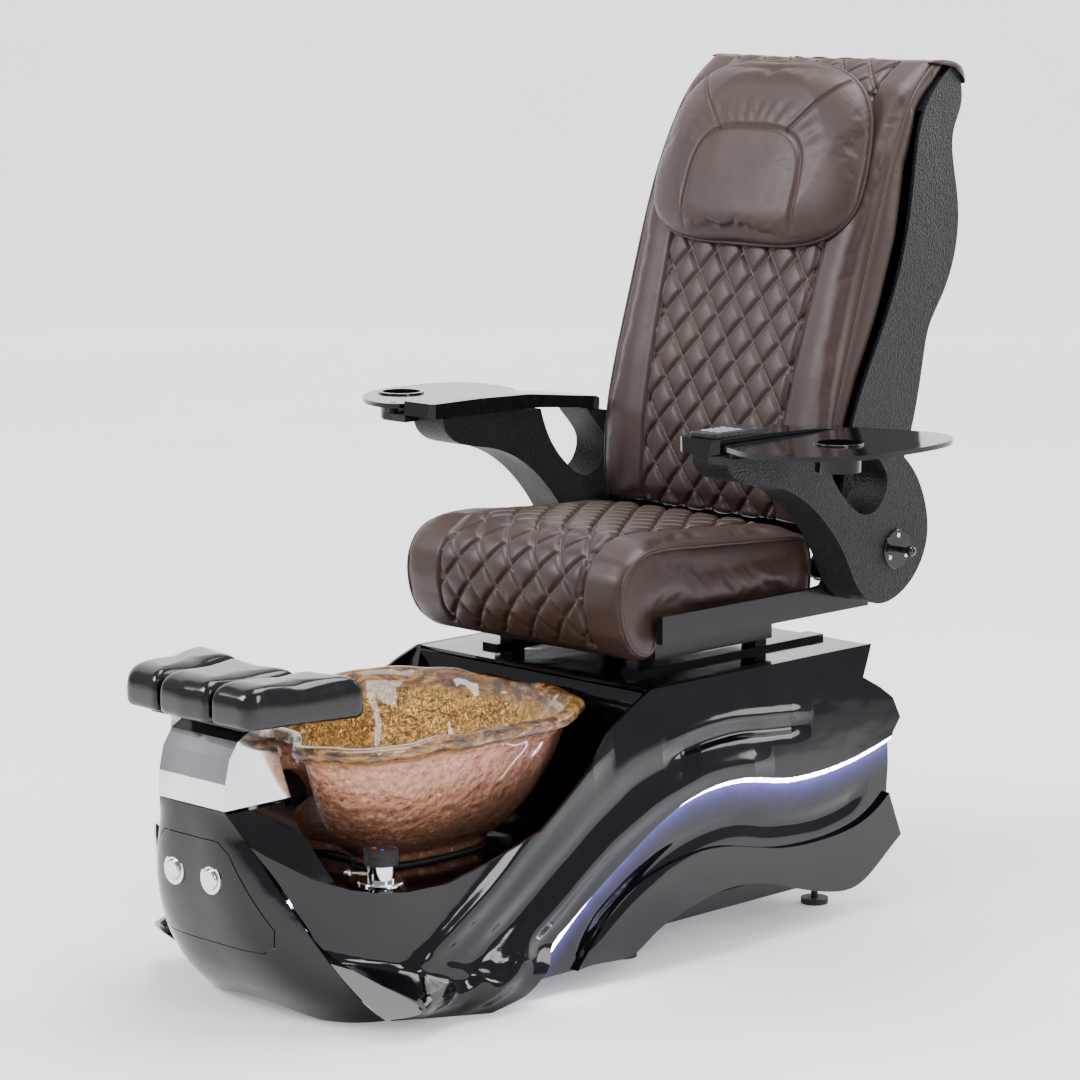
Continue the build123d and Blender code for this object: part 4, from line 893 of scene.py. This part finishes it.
# ------------------------------------------------------------------- footrest pads
PADS = {
    "footrest_pad_centre": [(-58, -768), (0, -772), (58, -768), (79, -590), (0, -596), (-79, -590)],
    "footrest_pad_left": [(63, -767), (140, -764), (152, -752), (193, -566), (184, -558), (84, -572)],
    "footrest_pad_right": [(-63, -767), (-140, -764), (-152, -752), (-193, -566), (-184, -558), (-84, -572)],
}
for name, outline in PADS.items():
    loop = resample(outline, 120, closed=True)
    for _ in range(3):
        loop = 0.5 * loop + 0.25 * (np.roll(loop, 1, axis=0) + np.roll(loop, -1, axis=0))
    mid = loop.mean(axis=0)
    rings = []
    for z_mm, inset in ((486, 10), (488, 4), (493, 1), (500, 0.2), (518, 0.2), (527, 1.2), (535, 4), (542, 9),
                        (547, 16), (550.5, 25), (552.5, 38)):
        away = loop - mid
        size = np.linalg.norm(away, axis=1, keepdims=True)
        ring = mid + away * (1 - inset / size)
        rings.append([(px * MM, py * MM, z_mm * MM) for px, py in ring])
    pad = stuffed(name + "_cover", rings, M["pad"], 4.0, smooth=3, blown=False)
    finish_piece(pad, "footrest", "pad", name)


# -------------------------------------------------------------------- small pieces
def turned(name, profile_pts, centre_pt, axis, mat, body, slot, steps=40):
    """A turned piece: (radius, height) pairs in mm spun about an axis."""
    axis = Vector(axis).normalized()
    side = axis.orthogonal().normalized()
    other = axis.cross(side)
    base = Vector(centre_pt) * MM
    rings = []
    for radius, height in profile_pts:
        rings.append([tuple(base + axis * height * MM
                            + (side * math.cos(a) + other * math.sin(a)) * radius * MM)
                      for a in np.linspace(0, 2 * math.pi, steps, endpoint=False)])
    verts, faces = stacked(rings)
    obj = mesh_piece(name, verts, faces, mat)
    mod = obj.modifiers.new("edge", "BEVEL")
    mod.width = 0.4 * MM
    mod.limit_method = "ANGLE"
    return finish_piece(obj, body, slot)


def rounded_box(name, lo, hi, radius, mat, body, slot):
    mesh = bpy.data.meshes.new(name)
    bm = bmesh.new()
    bmesh.ops.create_cube(bm, size=1.0)
    for vert in bm.verts:
        for i in range(3):
            vert.co[i] = (lo[i] + (vert.co[i] + 0.5) * (hi[i] - lo[i])) * MM
    bmesh.ops.bevel(bm, geom=list(bm.edges), offset=radius * MM, segments=3, affect="EDGES", profile=0.5)
    bm.to_mesh(mesh)
    bm.free()
    mesh.materials.append(mat)
    mesh.polygons.foreach_set("use_smooth", [True] * len(mesh.polygons))
    obj = bpy.data.objects.new(name, mesh)
    bpy.context.scene.collection.objects.link(obj)
    return finish_piece(obj, body, slot)


lo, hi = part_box("keypad")
kx, ky, kz = (lo[0] + hi[0]) * 500, (lo[1] + hi[1]) * 500, hi[2] * 1000
rounded_box("keypad_screen", (kx - 20, ky + 18, kz - 1), (kx + 20, ky + 50, kz + 0.6), 0.7, M["screen"],
            "arm_left", "plastic")
for row in range(4):
    for col in range(3):
        cx = kx - 15 + 15 * col
        cy = ky + 8 - 15 * row
        rounded_box(f"keypad_key_{row}_{col}", (cx - 5, cy - 4.5, kz - 1), (cx + 5, cy + 4.5, kz + 1.4), 1.0,
                    M["key"], "arm_left", "plastic")

DOT_PROFILE = [(3.4, -0.5), (3.4, 0.5), (2.6, 0.9)]
lo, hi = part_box("mixer_knob")
mxc, myc, mzt = (lo[0] + hi[0]) * 500, (lo[1] + hi[1]) * 500, hi[2] * 1000
for tag, dx in (("red", -9), ("blue", 9)):
    turned(f"mixer_dot_{tag}", DOT_PROFILE, (mxc + dx, myc - 6, mzt), (0, 0, 1), M[tag],
           "mixer_cap", "pad")
lo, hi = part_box("arm_rosette_left")
ay, az = (lo[1] + hi[1]) * 500, (lo[2] + hi[2]) * 500
for sx, tag in ((1, "left"), (-1, "right")):
    face_x = sx * hi[0] * 1000
    for i in range(3):
        a = math.radians(90 + 120 * i)
        turned(f"rosette_screw_{tag}_{i}", [(4.2, -0.5), (4.2, 1.0), (3.0, 2.0), (1.6, 2.1), (1.5, 1.0)],
               (face_x, ay + 24 * math.cos(a), az + 24 * math.sin(a)), (sx, 0, 0), M["chrome"], f"arm_{tag}",
               "chrome", 24)

# ------------------------------------------------------------------ floor and light
AWAY = np.array([-math.sin(math.radians(45)), math.cos(math.radians(45))])
WIDE = np.array([AWAY[1], -AWAY[0]])
sweep = [(-14.0, 0.0), (9.5, 0.0)]
sweep += [(9.5 + 3.0 * math.sin(a), 3.0 - 3.0 * math.cos(a)) for a in np.linspace(0.08, math.pi / 2, 24)]
sweep.append((12.5, 16.0))
sweep_verts = [(*(AWAY * far + WIDE * side), up) for far, up in sweep for side in (-22, 22)]
sweep_faces = [(2 * k, 2 * k + 1, 2 * k + 3, 2 * k + 2) for k in range(len(sweep) - 1)]
floor = bpy.data.meshes.new("floor")
floor.from_pydata(sweep_verts, [], sweep_faces)
for poly in floor.polygons:
    poly.use_smooth = True
floor_obj = bpy.data.objects.new("floor", floor)
bpy.context.scene.collection.objects.link(floor_obj)
fs = Shader("floor_white_sweep")
fs.link(fs.ramp(fs.noise(1.5, 3), [(0.3, (0.90, 0.90, 0.90)), (0.7, (0.94, 0.94, 0.94))]),
        fs.bsdf.inputs["Base Color"])
fs.set(Roughness=0.8, Specular_IOR_Level=0.1)
floor_tex = fs.add("ShaderNodeTexCoord")
floor_parts = fs.add("ShaderNodeSeparateXYZ")
fs.link(floor_tex.outputs["Object"], floor_parts.inputs[0])
behind = fs.math("ADD", fs.math("MULTIPLY", floor_parts.outputs[0], float(AWAY[0])),
                 fs.math("MULTIPLY", floor_parts.outputs[1], float(AWAY[1])))
fs.link(fs.grey(behind, 0.30, 1.15, 0.6, 4.5), fs.bsdf.inputs["Emission Strength"])
fs.bsdf.inputs["Emission Color"].default_value = (1, 1, 1, 1)
floor.materials.append(fs.mat)

world = bpy.data.worlds.new("studio")
bpy.context.scene.world = world
world.use_nodes = True
world.node_tree.nodes["Background"].inputs[0].default_value = (0.92, 0.94, 1.0, 1)
world.node_tree.nodes["Background"].inputs[1].default_value = 0.55


def softbox(name, place, target, size, power, colour=(1, 1, 1)):
    data = bpy.data.lights.new(name, "AREA")
    data.shape = "RECTANGLE"
    data.size, data.size_y = size
    data.energy = power
    data.color = colour
    obj = bpy.data.objects.new(name, data)
    obj.location = place
    obj.rotation_euler = (Vector(target) - Vector(place)).to_track_quat("-Z", "Y").to_euler()
    bpy.context.scene.collection.objects.link(obj)


softbox("key", (-2.2, -3.6, 3.4), (0, -0.1, 0.6), (1.8, 1.8), 210)
softbox("fill", (4.2, -0.6, 2.6), (0, 0.1, 0.6), (0.9, 2.6), 110, (0.94, 0.95, 1.0))
softbox("top", (0.3, 0.4, 4.2), (0, 0, 0.5), (2.4, 2.4), 190)
softbox("rim", (1.6, 3.6, 2.4), (0, 0.3, 0.8), (1.6, 2.2), 70)

cam = bpy.data.cameras.new("camera")
cam.lens = 123.33
cam.sensor_width = 36
cam_obj = bpy.data.objects.new("camera", cam)
yaw, tilt = math.radians(45), math.radians(9.2786)
look = Vector((-math.sin(yaw) * math.cos(tilt), math.cos(yaw) * math.cos(tilt), -math.sin(tilt)))
cam_obj.location = (4.3039, -4.2973, 1.6684)
cam_obj.rotation_euler = look.to_track_quat("-Z", "Y").to_euler()
bpy.context.scene.collection.objects.link(cam_obj)
bpy.context.scene.camera = cam_obj

bpy.context.view_layer.update()
